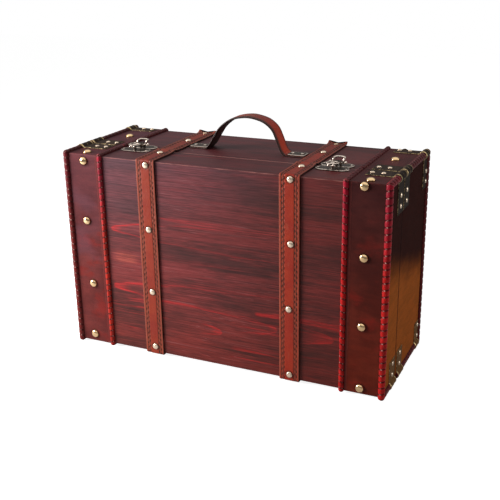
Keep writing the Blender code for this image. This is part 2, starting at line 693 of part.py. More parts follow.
def make_hasp(side, centre_x):
    """The rocking hasp, cast with the pin that turns in the ears: its ring drops over the stud, and pressing
    the open loop behind the ears lifts the ring. The neck of the ring passes between the ears."""
    name = f"{side}_latch_hasp"
    axis = (PIVOT_Y, PIVOT_Z)
    ring = (centre_x + HASP_RING_SHIFT, PIVOT_Y - HASP_REACH)
    low = PIVOT_Z + HASP_RING_RISE - HASP_THICKNESS / 2
    high = low + HASP_THICKNESS
    hasp = prism(name, oval(ring, HASP_RING_HALF, HASP_RING_DEPTH, ROUND_SIDES), low, high, pewter())
    hole = oval(ring, HASP_RING_HALF - HASP_RIM, HASP_RING_DEPTH - HASP_RIM, ROUND_SIDES)
    cut(hasp, prism(name + "_ring_hole", hole, low - OVERRUN, high + OVERRUN, None))
    neck_start = ring[1] + HASP_RING_DEPTH - HASP_RIM / 2
    join(hasp, box(name + "_neck", (centre_x - HASP_NECK_HALF, neck_start, low),
                   (centre_x + HASP_NECK_HALF, PIVOT_Y, high), None))
    knobs = [(ring[0] + way * HASP_KNOB_X, ring[1] - HASP_RING_DEPTH + HASP_KNOB_RADIUS / 2,
              low - HASP_KNOB_RADIUS / 2) for way in SIDES.values()]
    join(hasp, balls(name + "_knobs", knobs, HASP_KNOB_RADIUS))

    rods = [("pin", PIVOT_RADIUS, -PIN_HALF, PIN_HALF),
            ("hub", HASP_HUB_RADIUS, -HASP_NECK_HALF, HASP_NECK_HALF)]
    sleeve_start = (EAR_SPACING + EAR_THICKNESS) / 2 + RUN_GAP
    for way in SIDES.values():
        start, end = sorted((way * sleeve_start, way * PIN_HALF))
        rods.append((f"sleeve_{way}", HASP_SLEEVE_RADIUS, start, end))
    for label, radius, start, end in rods:
        join(hasp, prism(f"{name}_{label}", circle(axis, radius, PIN_SIDES), centre_x + start, centre_x + end,
                         None, axis="x"))
    join(hasp, balls(name + "_ends", [(centre_x + way * PIN_HALF, *axis) for way in SIDES.values()],
                     PIN_BALL_RADIUS))

    middle = (centre_x + HASP_LOOP_SHIFT, PIVOT_Y + HASP_LOOP_SETBACK)
    height = PIVOT_Z + HASP_LOOP_RISE
    half = HASP_THICKNESS / 2
    loop = prism(name + "_loop", oval(middle, HASP_LOOP_HALF, HASP_LOOP_DEPTH, ROUND_SIDES), height - half,
                 height + half, None)
    hole = oval(middle, HASP_LOOP_HALF - HASP_LOOP_RIM, HASP_LOOP_DEPTH - HASP_LOOP_RIM, ROUND_SIDES)
    inside = prism(name + "_loop_hole", hole, height - OVERRUN, height + OVERRUN, None)
    tilt = (Matrix.Translation((0, middle[1], height)) @ Matrix.Rotation(HASP_LOOP_ANGLE, 4, "X")
            @ Matrix.Translation((0, -middle[1], -height)))
    for piece in (loop, inside):
        piece.data.transform(tilt)
    cut(loop, inside)
    cut(loop, box(name + "_loop_front", (middle[0] - OVERRUN, PIVOT_Y - OVERRUN, PIVOT_Z),
                  (middle[0] + OVERRUN, PIVOT_Y - HASP_POST_HALF + BURY, PIVOT_Z + OVERRUN), None))
    join(hasp, loop)
    for way in SIDES.values():
        post = sorted((middle[0] + way * (HASP_LOOP_HALF - HASP_LOOP_RIM),
                       middle[0] + way * (HASP_LOOP_HALF - BURY)))
        join(hasp, box(f"{name}_post_{way}", (post[0], PIVOT_Y - HASP_POST_HALF, PIVOT_Z),
                       (post[1], PIVOT_Y + HASP_POST_HALF, height), None))


def make_latches():
    for side, sign in SIDES.items():
        centre_x = sign * LATCH_X + LATCH_SHIFT
        make_catch(side, centre_x)
        make_latch_base(side, centre_x)
        make_hasp(side, centre_x)


def handle_line():
    """The middle line of the handle strap in x and height over the wood, with the strap's thickness at each
    point: pressed thin and flat under a plate at each end, and a smooth arch between them."""
    pressed = FIT_GAP + HANDLE_FOOT_THICKNESS / 2
    flat = FIT_GAP + HANDLE_THICKNESS / 2
    foot = HANDLE_HALF_SPAN + HANDLE_FOOT_LENGTH
    landing = HANDLE_HALF_SPAN + (HANDLE_FOOT_LENGTH - HANDLE_PLATE_LENGTH)
    arch = [(HANDLE_HALF_SPAN * a, flat + (HANDLE_RISE - flat) * b) for a, b in HANDLE_CURVE_SHARES]
    points = [(-foot, flat), (-landing, flat)] + arch + [(landing, flat), (foot, flat)]
    line = [(-foot, pressed, HANDLE_FOOT_THICKNESS), (-landing, pressed, HANDLE_FOOT_THICKNESS)]
    for i in range(1, len(points) - 2):
        before, start, end, after = (Vector(points[k]) for k in (i - 1, i, i + 1, i + 2))
        for step in range(CURVE_STEPS):
            t = step / CURVE_STEPS
            spot = 0.5 * (2 * start + (end - before) * t + (2 * before - 5 * start + 4 * end - after) * t**2
                          + (3 * start - before - 3 * end + after) * t**3)
            if step or i > 1:
                line.append((spot.x, max(spot.y, flat), HANDLE_THICKNESS))
    return line + [(landing, pressed, HANDLE_FOOT_THICKNESS), (foot, pressed, HANDLE_FOOT_THICKNESS)]


def make_handle():
    line = handle_line()
    last = len(line) - 1
    rings = []
    for i, (x, height, thickness) in enumerate(line):
        ahead = line[min(i + 1, last)]
        behind = line[max(i - 1, 0)]
        along = Vector((ahead[0] - behind[0], ahead[1] - behind[1])).normalized()
        if thickness < HANDLE_THICKNESS:
            along = Vector((1, 0))
        normal = Vector((-along.y, along.x)) * thickness / 2
        rings.append([(x + n * normal.x, HANDLE_Y + w * HANDLE_WIDTH / 2, WOOD_TOP + height + n * normal.y)
                      for n, w in ((1, -1), (1, 1), (-1, 1), (-1, -1))])
    rings_object("handle_strap", rings, tan_leather())
    low = WOOD_TOP + 2 * FIT_GAP + HANDLE_FOOT_THICKNESS
    outer = HANDLE_HALF_SPAN + HANDLE_FOOT_LENGTH
    for side, sign in SIDES.items():
        ends = sorted((sign * outer, sign * (outer - HANDLE_PLATE_LENGTH)))
        half = HANDLE_PLATE_WIDTH / 2
        plate = box(f"handle_{side}_plate", (ends[0], HANDLE_Y - half, low),
                    (ends[1], HANDLE_Y + half, low + HANDLE_PLATE_THICKNESS), pewter())
        middle = (ends[0] + ends[1]) / 2
        offset = HANDLE_PLATE_LENGTH * HANDLE_SCREW_SHARE
        screws = [((middle + way * offset, HANDLE_Y, low + HANDLE_PLATE_THICKNESS), (0, 0, 1))
                  for way in SIDES.values()]
        nail_to(plate, screws, HANDLE_SCREW_RADIUS, HANDLE_SCREW_HEIGHT, SMALL_DOME_SIDES)


def hang(name, place, prefixes):
    """Parents each piece whose name starts so to an empty on its pivot."""
    pivot = bpy.data.objects.new(name, None)
    pivot.location = place
    for obj in list(bpy.context.scene.collection.objects):
        if obj.name.startswith(prefixes):
            obj.parent = pivot
            obj.matrix_parent_inverse = Matrix.Translation(-pivot.location)
    bpy.context.scene.collection.objects.link(pivot)


clear_scene()
make_boards()
make_linings()
make_leather_ends()
make_cords()
make_straps()
make_brackets()
make_hinges()
make_latches()
make_handle()
hang("lid_pivot", (0, SEAM, HINGE_AXIS_Z), ("lid_", "left_latch_catch", "right_latch_catch"))
for side, sign in SIDES.items():
    hang(f"{side}_hasp_pivot", (sign * LATCH_X + LATCH_SHIFT, PIVOT_Y, PIVOT_Z), (f"{side}_latch_hasp",))
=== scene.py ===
import math

import bmesh
import bpy
import numpy as np
from mathutils import Matrix, Vector


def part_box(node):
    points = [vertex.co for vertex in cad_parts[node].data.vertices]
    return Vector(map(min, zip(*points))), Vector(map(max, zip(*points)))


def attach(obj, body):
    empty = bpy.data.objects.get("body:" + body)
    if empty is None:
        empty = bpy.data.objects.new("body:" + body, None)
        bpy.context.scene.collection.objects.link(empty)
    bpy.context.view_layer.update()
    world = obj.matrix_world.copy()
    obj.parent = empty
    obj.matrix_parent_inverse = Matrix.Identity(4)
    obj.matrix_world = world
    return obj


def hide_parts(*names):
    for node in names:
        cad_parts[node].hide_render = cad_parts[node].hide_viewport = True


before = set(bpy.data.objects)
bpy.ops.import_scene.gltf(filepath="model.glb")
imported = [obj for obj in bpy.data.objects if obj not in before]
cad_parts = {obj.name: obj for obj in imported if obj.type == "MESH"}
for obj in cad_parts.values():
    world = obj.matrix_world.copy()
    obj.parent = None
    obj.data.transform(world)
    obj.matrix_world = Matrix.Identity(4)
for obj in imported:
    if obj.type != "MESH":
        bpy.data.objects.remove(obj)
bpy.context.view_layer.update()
print("frame loaded")

# Places taken from the CAD boxes, in metres
panelLow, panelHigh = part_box("lid_front_panel")
woodHalf, woodBottom, woodTop, woodFront = panelHigh[0], panelLow[2], panelHigh[2], panelLow[1]
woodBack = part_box("base_back_panel")[1][1]
lidEdge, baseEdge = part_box("lid_top_board")[1][1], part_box("base_top_board")[0][1]
seam = (lidEdge + baseEdge) / 2
baseMiddle = (seam + woodBack) / 2
bandInner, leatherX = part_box("lid_right_leather")[0][0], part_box("lid_right_leather")[1][0]
skin = leatherX - woodHalf  # leather's outer face over the wood
fitGap = 0.0003
sides = {"left": -1, "right": 1}
shells = {"lid": (woodFront, -1, lidEdge), "base": (woodBack, 1, baseEdge)}  # face, its way out, edge at the seam
rng = np.random.default_rng(7)


# Node helpers
class Value:
    # A node's output that can be reckoned with: each sign adds one maths node to its tree
    def __init__(self, socket):
        self.socket = socket

    def __add__(self, other):
        return maths("ADD", self, other)

    def __sub__(self, other):
        return maths("SUBTRACT", self, other)

    def __rsub__(self, other):
        return maths("SUBTRACT", other, self)

    def __mul__(self, other):
        return maths("MULTIPLY", self, other)

    def __truediv__(self, other):
        return maths("DIVIDE", self, other)

    def __abs__(self):
        return maths("ABSOLUTE", self)


def treeOf(values):
    # The node tree that the values come from
    return next(value.socket.id_data for value in values if isinstance(value, Value))


def put(socket, value):
    # A value goes in by a link, a number or a colour as it is
    if isinstance(value, Value):
        socket.id_data.links.new(value.socket, socket)
    elif socket.type == "RGBA":
        socket.default_value = (*value, 1)
    else:
        socket.default_value = value


def newNode(tree, kind, inputs=None, **settings):
    # A node with its settings and then its inputs, by place or name. It gives the list of the node's outputs.
    made = tree.nodes.new("ShaderNode" + kind)
    for key, value in settings.items():
        setattr(made, key, value)
    for key, value in (inputs or {}).items():
        put(made.inputs[key], value)
    return [Value(socket) for socket in made.outputs]


def maths(operation, *values, clamp=False):
    return newNode(treeOf(values), "Math", dict(enumerate(values)), operation=operation, use_clamp=clamp)[0]


def highest(first, second):
    return maths("MAXIMUM", first, second)


def falling(value, reach):
    # 1 at nothing, 0 from reach on
    return maths("SUBTRACT", 1.0, value / reach, clamp=True)


def smooth(value, start, end):
    # 0 at start, 1 at end, smooth between and level outside
    return newNode(treeOf([value]), "MapRange", {0: value, 1: start, 2: end, 3: 0.0, 4: 1.0},
                   interpolation_type="SMOOTHSTEP")[0]


def mixed(factor, first, second, blend="MIX"):
    return newNode(treeOf([factor, first, second]), "Mix", {0: factor, 6: first, 7: second}, data_type="RGBA",
                   blend_type=blend)[2]


def tinted(colour, tint, amount=1.0):
    return mixed(amount, colour, tint, "MULTIPLY")


def scaled(colour, share):
    return tuple(part * share for part in colour)


def stretched(vector, scale, start=(0, 0, 0)):
    return newNode(treeOf([vector]), "Mapping", {"Vector": vector, "Scale": scale, "Location": start})[0]


def noise(vector, scale, detail=3.0, roughness=0.55, start=(0, 0, 0)):
    # A scale of three numbers stretches the noise
    if isinstance(scale, tuple):
        vector, scale = stretched(vector, scale, start), 1.0
    return newNode(treeOf([vector]), "TexNoise", {"Vector": vector, "Scale": scale, "Detail": detail,
                                                  "Roughness": roughness})[0]


def newMaterial(name):
    # A material, its node tree, the place in object coordinates, and that place's x, y and z
    material = bpy.data.materials.new(name)
    material.use_nodes = True
    tree = material.node_tree
    place = Value(tree.nodes.new("ShaderNodeTexCoord").outputs["Object"])
    return material, tree, place, newNode(tree, "SeparateXYZ", {0: place})


def mark(tree, name):
    # A value that the mesh carries at each of its points
    found = tree.nodes.new("ShaderNodeAttribute")
    found.attribute_type, found.attribute_name = "GEOMETRY", name
    return Value(found.outputs["Fac"])


def feed(material, bump=None, **values):
    # Values for the shader's sockets, and a bump of height, distance in metres and strength
    inputs = material.node_tree.nodes["Principled BSDF"].inputs
    for key, value in values.items():
        put(inputs[key.replace("_", " ")], value)
    if bump:
        keys = dict(zip(("Height", "Distance", "Strength"), bump))
        put(inputs["Normal"], newNode(material.node_tree, "Bump", keys)[0])
    return material


def newGroup(name, inputs, outputs):
    # A shared effect. Its inputs are numbers, or None for a place; it gives the group, its inputs and outputs.
    group = bpy.data.node_groups.new(name, "ShaderNodeTree")
    for label, value in inputs.items():
        kind = "NodeSocketVector" if value is None else "NodeSocketFloat"
        socket = group.interface.new_socket(label, in_out="INPUT", socket_type=kind)
        if value is not None:
            socket.default_value = value
    for label in outputs:
        group.interface.new_socket(label, in_out="OUTPUT", socket_type="NodeSocketFloat")
    given = {socket.name: Value(socket) for socket in group.nodes.new("NodeGroupInput").outputs}
    return group, given, group.nodes.new("NodeGroupOutput").inputs


def useGroup(group, **values):
    return newNode(treeOf(values.values()), "Group", values, node_tree=group)


# Leather grain: small rounded cells with creases between them, and a slow mottle
leatherGrain, given, made = newGroup("leatherGrain", {"place": None, "cells": 900.0, "mottle": 24.0},
                                     ["height", "mottle"])
cells = newNode(leatherGrain, "TexVoronoi", {"Vector": given["place"], "Scale": given["cells"]},
                feature="DISTANCE_TO_EDGE")[0]
put(made["height"], smooth(cells, 0.0, 0.22) + noise(given["place"], 2600.0, 2.0) * 0.35)
put(made["mottle"], noise(given["place"], given["mottle"], 4.0))

# Wear: where a surface is high or near an edge (amount), broken up by noise
rubbedWear, given, made = newGroup("rubbedWear", {"place": None, "amount": 0.0, "spots": 320.0, "threshold": 0.5},
                                   ["mask"])
broken = given["amount"] + (noise(given["place"], given["spots"]) - 0.5) * 0.9
put(made["mask"], smooth(broken, given["threshold"] - 0.16, given["threshold"] + 0.16))

# A tongue of grain: a blunt point at (startX, startZ) that opens along X as a parabola, drawn as its edge line,
# with the inside filled near the point
grainTongue, given, made = newGroup("grainTongue", {"x": 0.0, "z": 0.0, "startX": 0.0, "startZ": 0.0,
                                                    "opening": 0.0014, "way": 1.0, "line": 0.0022, "fill": 0.03,
                                                    "reach": 0.2}, ["mask"])
run = (given["x"] - given["startX"]) * given["way"]
off = maths("SQRT", highest(run, 0.0) * given["opening"]) - abs(given["z"] - given["startZ"])
edgeLine = falling(abs(off), given["line"]) * smooth(run, -0.0005, 0.004)
inside = smooth(off, 0.0, 0.0012) * falling(run, given["fill"])
put(made["mask"], highest(edgeLine, inside * 0.8) * maths("POWER", falling(run, given["reach"]), 0.5))

# Materials
woodLook = {
    "dark": (0.06, 0.012, 0.0115), "mid": (0.205, 0.024, 0.024), "red": (0.52, 0.018, 0.02),
    "sheenPurple": (0.11, 0.038, 0.056), "rust": (0.42, 0.075, 0.048), "pale": (0.38, 0.15, 0.16),
    "edgePale": (0.48, 0.19, 0.16), "rightShade": (0.72, 0.62, 0.52), "lowTint": (1.0, 0.92, 0.7),
    "boardTint": (0.82, 0.7872, 0.7216), "speckTints": ((0.7, 0.66, 0.66), (1.3, 1.42, 1.42)), "roughness": 0.46,
    # the grain's noises: stretch along x, y and z, detail, roughness, start
    "sway": ((4.0, 14.0, 14.0), 2.0), "patch": ((6.0, 16.0, 16.0), 2.0), "wobble": ((14.0, 30.0, 30.0), 3.0),
    "blotch": ((9.0, 30.0, 30.0), 4.0, 0.6, (0.7, 0.2, 0.4)), "band": ((1.8, 70.0, 70.0), 3.0, 0.6),
    "fibre": ((7.0, 700.0, 700.0), 4.0, 0.7), "streak": ((2.2, 520.0, 520.0), 4.0, 0.65),
    "speck": ((34.0, 1250.0, 1250.0), 2.0, 0.7),
    # thin lines: the noise whose middle value they follow, then how wide they fade out and stay full
    "darkLine": (((1.0, 150.0, 150.0), 2.0, 0.6), 0.012, 0.002),
    "paleLine": (((1.3, 260.0, 260.0), 2.0, 0.6, (0.5, 0.1, 0.6)), 0.014, 0.002),
    "redLine": (((1.4, 70.0, 70.0), 2.0, 0.6, (0.3, 0.7, 0.1)), 0.02, 0.003),
    # tongues of grain on the front: point's x and z, opening, way, line width, fill, reach
    "tongues": [(-0.158, 0.1775, 0.0016, 1.0, 0.0016, 0.018, 0.33), (-0.16, 0.0945, 0.0015, 1.0, 0.0023, 0.03, 0.38),
                (0.157, 0.069, 0.003, -1.0, 0.0016, 0.045, 0.06), (0.082, 0.07, 0.0024, -1.0, 0.0018, 0.014, 0.055),
                (0.004, 0.053, 0.0018, -1.0, 0.002, 0.02, 0.035), (0.05, 0.0885, 0.00005, 1.0, 0.0026, 0.04, 0.17),
                (-0.085, 0.198, 0.00004, 1.0, 0.0014, 0.01, 0.12)],
}


def cherryWood(name, look, onFront):
    # The front has the tongues of grain and painted shade that darkens it to the right; the other boards are darker
    # all over
    material, tree, place, (x, y, z) = newMaterial(name)
    sway = (noise(place, *look["sway"]) - 0.5) * 0.01
    swayed = newNode(tree, "CombineXYZ", {0: x, 1: y + sway, 2: z + sway})[0]
    band, fibre, streak, speck = (noise(swayed, *look[k]) for k in ("band", "fibre", "streak", "speck"))
    patch, blotch = noise(place, *look["patch"]), noise(place, *look["blotch"])
    colour = mixed(smooth(band * 0.32 + streak * 0.22 + blotch * 0.46, 0.375, 0.6), look["dark"], look["mid"])
    # a painted violet-grey sheen near the upper left corner
    colour = mixed(smooth(z - x * 0.35, 0.17, 0.33) * 0.55, colour, look["sheenPurple"])
    darkLine, paleLine, redLine = (smooth(abs(noise(swayed, *middle) - 0.5), wide, full) for middle, wide, full in
                                   (look[k] for k in ("darkLine", "paleLine", "redLine")))
    rightward = smooth(x, -0.02, 0.14)
    figure = redLine * smooth(patch, 0.46, 0.6) * (0.5 - rightward * 0.28)
    if onFront:
        height = z + (noise(place, *look["wobble"]) - 0.5) * 0.01
        keys = ("startX", "startZ", "opening", "way", "line", "fill", "reach")
        for tongue in look["tongues"]:
            figure = highest(figure, useGroup(grainTongue, x=x, z=height, **dict(zip(keys, tongue)))[0])
    figure = maths("MULTIPLY", figure, smooth(band, 0.35, 0.6) + 0.35, clamp=True) * smooth(fibre, 0.2, 0.6)
    if onFront:  # the long lines fade where they run on above the second tongue
        figure = figure * (1.0 - smooth(x, -0.12, -0.06) * smooth(z, 0.088, 0.096) * 0.6)
    colour = mixed(figure, colour, look["red"])
    if onFront:  # a rust-red patch between the two long tongues
        rust = smooth(abs(x + 0.137), 0.024, 0.008) * smooth(abs(z - 0.137), 0.01, 0.002)
        colour = mixed(rust * smooth(streak, 0.25, 0.65) * 0.75, colour, look["rust"])
    colour = tinted(colour, look["lowTint"], smooth(z, 0.16, 0.0))
    # painted shade: the front darkens to the right
    if onFront:
        colour = tinted(colour, look["rightShade"], rightward)
    colour = mixed(highest(smooth(fibre, 0.5, 0.34) * 0.52, darkLine * 0.36), colour, scaled(look["dark"], 0.5))
    # short fine fibres, lighter and darker than the stain
    colour = tinted(colour, mixed(smooth(speck, 0.32, 0.68), *look["speckTints"]))
    colour = mixed(paleLine * (smooth(blotch, 0.4, 0.6) * (0.26 - rightward * 0.18)), colour, look["pale"])
    if not onFront:
        colour = tinted(colour, look["boardTint"])
    # rubbed edges of the boards at the seam, where the stain is thin, and a painted highlight along the front edge
    atSeam = smooth(abs(y - seam), 0.0016, 0.0009) * smooth(z, woodTop - 0.0006, woodTop - 0.0002)
    frontEdgeHighlight = smooth(y, woodFront + 0.0008, woodFront + 0.0001) * smooth(z, woodTop - 0.0022, woodTop - 0.0005)
    wearAndHighlight = useGroup(rubbedWear, place=stretched(place, (0.25, 1.0, 1.0)), amount=highest(atSeam, frontEdgeHighlight * 0.66),
                    spots=220.0, threshold=0.62)[0]
    colour = mixed(wearAndHighlight * 0.7, colour, look["edgePale"])
    return feed(material, (fibre + band * 1.5, 0.00012, 0.7), Base_Color=colour, Specular_IOR_Level=0.28,
                Roughness=patch * 0.12 + look["roughness"])


leatherLook = {
    "colour": (0.105, 0.019, 0.0175), "light": (0.16, 0.03, 0.027), "crease": (0.03, 0.008, 0.008),
    "endShade": (0.029, 0.0064, 0.0044), "endWarmGlow": (0.37, 0.096, 0.016), "sheenPurple": (0.105, 0.03, 0.04),
    "violetSheen": (0.15, 0.056, 0.076), "rubbedRed": (0.26, 0.015, 0.01),
    "rightLow": (1.2, 0.82, 0.42), "rightHigh": (0.5, 0.56, 0.54),
    "brushTints": ((0.88, 0.92, 0.94), (1.12, 1.08, 1.05)), "roughness": 0.37,
    # noises: stretch, detail, roughness
    "patches": ((24.0, 24.0, 42.0), 3.0, 0.6), "violetSheenPatches": ((14.0, 14.0, 30.0), 2.0, 0.5),
    "brush": ((40.0, 40.0, 150.0), 4.0, 0.65),
}


def maroonLeather(look):
    material, tree, place, (x, y, z) = newMaterial("maroonLeather")
    off = abs(x)
    height, mottle = useGroup(leatherGrain, place=place, cells=780.0, mottle=22.0)
    colour = mixed(smooth(mottle, 0.38, 0.66), look["colour"], look["light"])
    # a painted violet-grey sheen towards the upper left
    colour = mixed(smooth(z - x * 0.3, 0.14, 0.32) * 0.6, colour, look["sheenPurple"])
    # the right band is darker at the top and warmer lower down
    onRight = smooth(x, 0.1, 0.16) * smooth(y, woodFront + 0.0012, woodFront)
    colour = tinted(colour, mixed(smooth(z, 0.02, 0.25), look["rightLow"], look["rightHigh"]), onRight)
    # rubbed red patches low down, and a painted violet sheen on the left
    patch = smooth(noise(place, *look["patches"]), 0.5, 0.68) * smooth(z, 0.26, 0.15)
    colour = mixed(patch * 0.5, colour, look["rubbedRed"])
    violetSheen = smooth(noise(place, *look["violetSheenPatches"]), 0.48, 0.66) * smooth(x, 0.0, -0.1)
    colour = mixed(violetSheen * 0.4, colour, look["violetSheen"])
    # the end faces are painted darker with shade, with a painted warm brown glow below a line that drops towards the
    # back
    rise = z + mottle * 0.03 + (y - woodFront) * 0.3
    atEnd = smooth(off, leatherX - 0.001, leatherX - 0.0002)
    colour = mixed(atEnd, colour, mixed(smooth(rise, 0.21, 0.158), look["endShade"], look["endWarmGlow"]))
    brushed = smooth(noise(place, *look["brush"]), 0.34, 0.66)
    colour = tinted(colour, mixed(brushed, *look["brushTints"]))
    # painted shade along the cords, and the seam's edges are dark
    cordShade = highest(smooth(off, bandInner + 0.005, bandInner + 0.0005),
                         smooth(off, leatherX - 0.0075, leatherX - 0.0035))
    cordShade = cordShade * smooth(off, leatherX - 0.0004, leatherX - 0.001)
    cordShadeAndSeam = highest(cordShade * 0.6, smooth(abs(y - seam), 0.0022, 0.0008))
    colour = mixed(cordShadeAndSeam * 0.8, colour, scaled(look["crease"], 0.5))
    colour = mixed(smooth(height, 0.5, 0.15) * 0.3, colour, look["crease"])
    rub = useGroup(rubbedWear, place=place, amount=mark(tree, "rim"), spots=260.0, threshold=0.72)[0]
    colour = mixed(rub * 0.25, colour, scaled(look["light"], 2.0))
    colour = mixed(mark(tree, "dent") * 0.7, colour, look["crease"])
    return feed(material, (height, 0.00009, 0.55), Base_Color=colour, Specular_IOR_Level=0.08,
                Roughness=maths("ADD", mottle * 0.16 + look["roughness"], atEnd * 0.5, clamp=True))


cordLook = {"red": (0.56, 0.01, 0.008), "crimson": (0.44, 0.009, 0.03), "deep": (0.085, 0.01, 0.011),
            "groove": (0.045, 0.0035, 0.004), "thread": (0.86, 0.4, 0.34), "left": (0.88, 2.2, 1.3),
            "mottled": (0.62, 0.62, 0.62), "roughness": 0.26}


def lacedRed(look):
    material, tree, place, (x, _, z) = newMaterial("lacedRed")
    height, mottle = useGroup(leatherGrain, place=place, cells=1500.0, mottle=60.0)
    groove = mark(tree, "groove")
    colour = mixed(smooth(z, 0.15, 0.26), look["red"], look["crimson"])
    colour = tinted(colour, look["left"], smooth(x, 0.0, -0.1))
    colour = mixed(smooth(mottle, 0.35, 0.65), colour, tinted(colour, look["mottled"]))
    # painted shade: the runs over the top are darker
    colour = mixed(mark(tree, "onTop") * 0.86, colour, look["deep"])
    colour = mixed(mark(tree, "dim"), colour, look["deep"])
    # pale thread in the grooves, whose specks also serve as painted highlights, with the painted highlight on the top
    # corner
    colour = mixed(mark(tree, "thread"), mixed(groove, colour, look["groove"]), look["thread"])
    return feed(material, (height, 0.00006, 0.5), Base_Color=colour, Specular_IOR_Level=0.14, Coat_Roughness=0.12,
                Coat_Weight=(1.0 - groove) * 0.08, Roughness=mottle * 0.2 + look["roughness"] + groove * 0.5)


# left and right tint the leather over a span of x
strapLook = {"tan": (0.34, 0.04, 0.016), "red": (0.285, 0.027, 0.015), "dark": (0.075, 0.022, 0.01),
             "pale": (0.33, 0.105, 0.06), "edge": (0.028, 0.011, 0.008), "roughness": 0.34,
             "left": (0.9, 0.88, 0.82), "right": (1.18, 0.88, 0.66), "span": (-0.06, 0.06)}
# the handle's lit copy of the strap leather: painted light makes its right part brighter orange, where it is turned
# from the lamp, and its left part paler
litHandleLook = {**strapLook, "dark": (0.06, 0.02, 0.012), "left": (1.4, 3.1, 3.9), "right": (2.05, 1.5, 0.95),
              "span": (0.0, 0.045)}


def tanLeather(name, look):
    material, tree, place, (x, *_) = newMaterial(name)
    height, mottle = useGroup(leatherGrain, place=place, cells=1000.0, mottle=34.0)
    colour = mixed(smooth(mottle, 0.36, 0.64), look["tan"], look["red"])
    colour = tinted(colour, mixed(smooth(x, *look["span"]), look["left"], look["right"]))
    stripe = noise(stretched(place, (1.0, 1.0, 0.35)), 90.0)
    rub = useGroup(rubbedWear, place=place, amount=mark(tree, "rim"), spots=300.0, threshold=0.55)[0]
    for mask, tone in ((smooth(stripe, 0.55, 0.75) * 0.35, "pale"), (mark(tree, "seamBand") * 0.28, "pale"),
                       (mark(tree, "sewn") * 0.55, "dark"), (mark(tree, "dent") * 0.85, "dark"), (rub * 0.55, "pale"),
                       (mark(tree, "cutEdge"), "edge")):
        colour = mixed(mask, colour, look[tone])
    return feed(material, (height, 0.00008, 0.6), Base_Color=colour, Specular_IOR_Level=0.25,
                Roughness=mottle * 0.2 + look["roughness"])


def waves(place, scale, distortion, way="X"):
    return newNode(treeOf([place]), "TexWave", {"Vector": place, "Scale": scale, "Distortion": distortion},
                   bands_direction=way)[1]


threadLook = {"dark": (0.03, 0.011, 0.008), "light": (0.085, 0.03, 0.018), "twist": 900.0, "roughness": 0.55}


def threadBrown(look):
    material, _, place, _ = newMaterial("threadBrown")
    twist = waves(place, look["twist"], 1.0)
    return feed(material, (twist, 0.00006, 1.0), Base_Color=mixed(twist, look["dark"], look["light"]),
                Roughness=twist * 0.15 + look["roughness"], Specular_IOR_Level=0.3)


# metal and patina: how much of a metal the surface is, and its dull part beside that. ends: the dull colour on the
# end faces, high and low: painted shade above and a painted warm glow below
metalLooks = {
    "polishedBrass": {"bright": (0.88, 0.61, 0.33), "dull": (0.54, 0.32, 0.13), "dirt": (0.06, 0.03, 0.014),
                      "threshold": 0.45, "smoothness": 0.15, "worn": 0.26, "spots": 200.0},
    "paleBrass": {"bright": (0.96, 0.77, 0.58), "dull": (0.74, 0.52, 0.35), "dirt": (0.08, 0.045, 0.03),
                  "threshold": 0.4, "smoothness": 0.18, "worn": 0.3, "spots": 240.0, "metal": 0.72},
    "antiqueBronze": {"bright": (0.66, 0.48, 0.24), "dull": (0.058, 0.034, 0.023), "dirt": (0.014, 0.009, 0.006),
                      "threshold": 0.72, "smoothness": 0.3, "worn": 0.48, "spots": 420.0, "patina": 0.1,
                      "specular": 0.06, "ends": ((0.02, 0.011, 0.007), (0.17, 0.08, 0.026))},
    "castPewter": {"bright": (0.8, 0.67, 0.57), "dull": (0.088, 0.064, 0.05), "dirt": (0.018, 0.012, 0.009),
                   "threshold": 0.72, "smoothness": 0.24, "worn": 0.4, "spots": 700.0, "patina": 0.6},
    "hingeSteel": {"bright": (0.52, 0.46, 0.36), "dull": (0.26, 0.22, 0.17), "dirt": (0.05, 0.04, 0.03),
                   "threshold": 0.5, "smoothness": 0.34, "worn": 0.42, "spots": 300.0},
}


def agedMetal(name, look):
    # Bright where it is rubbed (mark lift), dull between, and dirt in the low places
    material, tree, place, (x, _, z) = newMaterial(name)
    lift, spots, metal = mark(tree, "lift"), look["spots"], look.get("metal", 1.0)
    flat = look.get("patina", 1.0) * metal
    bright = useGroup(rubbedWear, place=place, amount=lift, spots=spots, threshold=look["threshold"])[0]
    dirt = useGroup(rubbedWear, place=place, amount=1.0 - lift, spots=spots * 0.7, threshold=1.02)[0]
    dull = mixed(smooth(noise(place, spots * 0.25, 4.0), 0.35, 0.65), look["dull"], scaled(look["dull"], 0.62))
    # on the end faces the dull colour is painted: shade above, a warm glow below
    if "ends" in look:
        onEnd = smooth(abs(x), leatherX - 0.002, leatherX)
        dull = mixed(onEnd, dull, mixed(smooth(z, 0.13, 0.03), *look["ends"]))
    rough = (1.0 - bright) * (look["worn"] - look["smoothness"]) + look["smoothness"]
    return feed(material, (noise(place, spots * 4.0), 0.00005, 0.35),
                Base_Color=mixed(dirt, mixed(bright, dull, look["bright"]), look["dirt"]),
                Roughness=rough + dirt * 0.3, Specular_IOR_Level=look.get("specular", 0.3),
                Metallic=(1.0 - dirt * 0.7) * (bright * (metal - flat) + flat))


clothLook = {"dark": (0.06, 0.01, 0.012), "light": (0.095, 0.016, 0.018), "gap": (0.02, 0.004, 0.005),
             "weave": 420.0, "roughness": 0.78, "sheen": 0.3}


def liningCloth(look):
    material, _, place, _ = newMaterial("liningCloth")
    weave = highest(*(waves(place, look["weave"], 0.4, way) for way in "XZ"))
    cloud = noise(place, 30.0)
    colour = mixed(smooth(cloud, 0.35, 0.65), look["dark"], look["light"])
    return feed(material, (weave, 0.00015, 1.0), Base_Color=mixed((1.0 - weave) * 0.5, colour, look["gap"]),
                Roughness=cloud * 0.15 + look["roughness"], Sheen_Weight=look["sheen"], Sheen_Roughness=0.5)


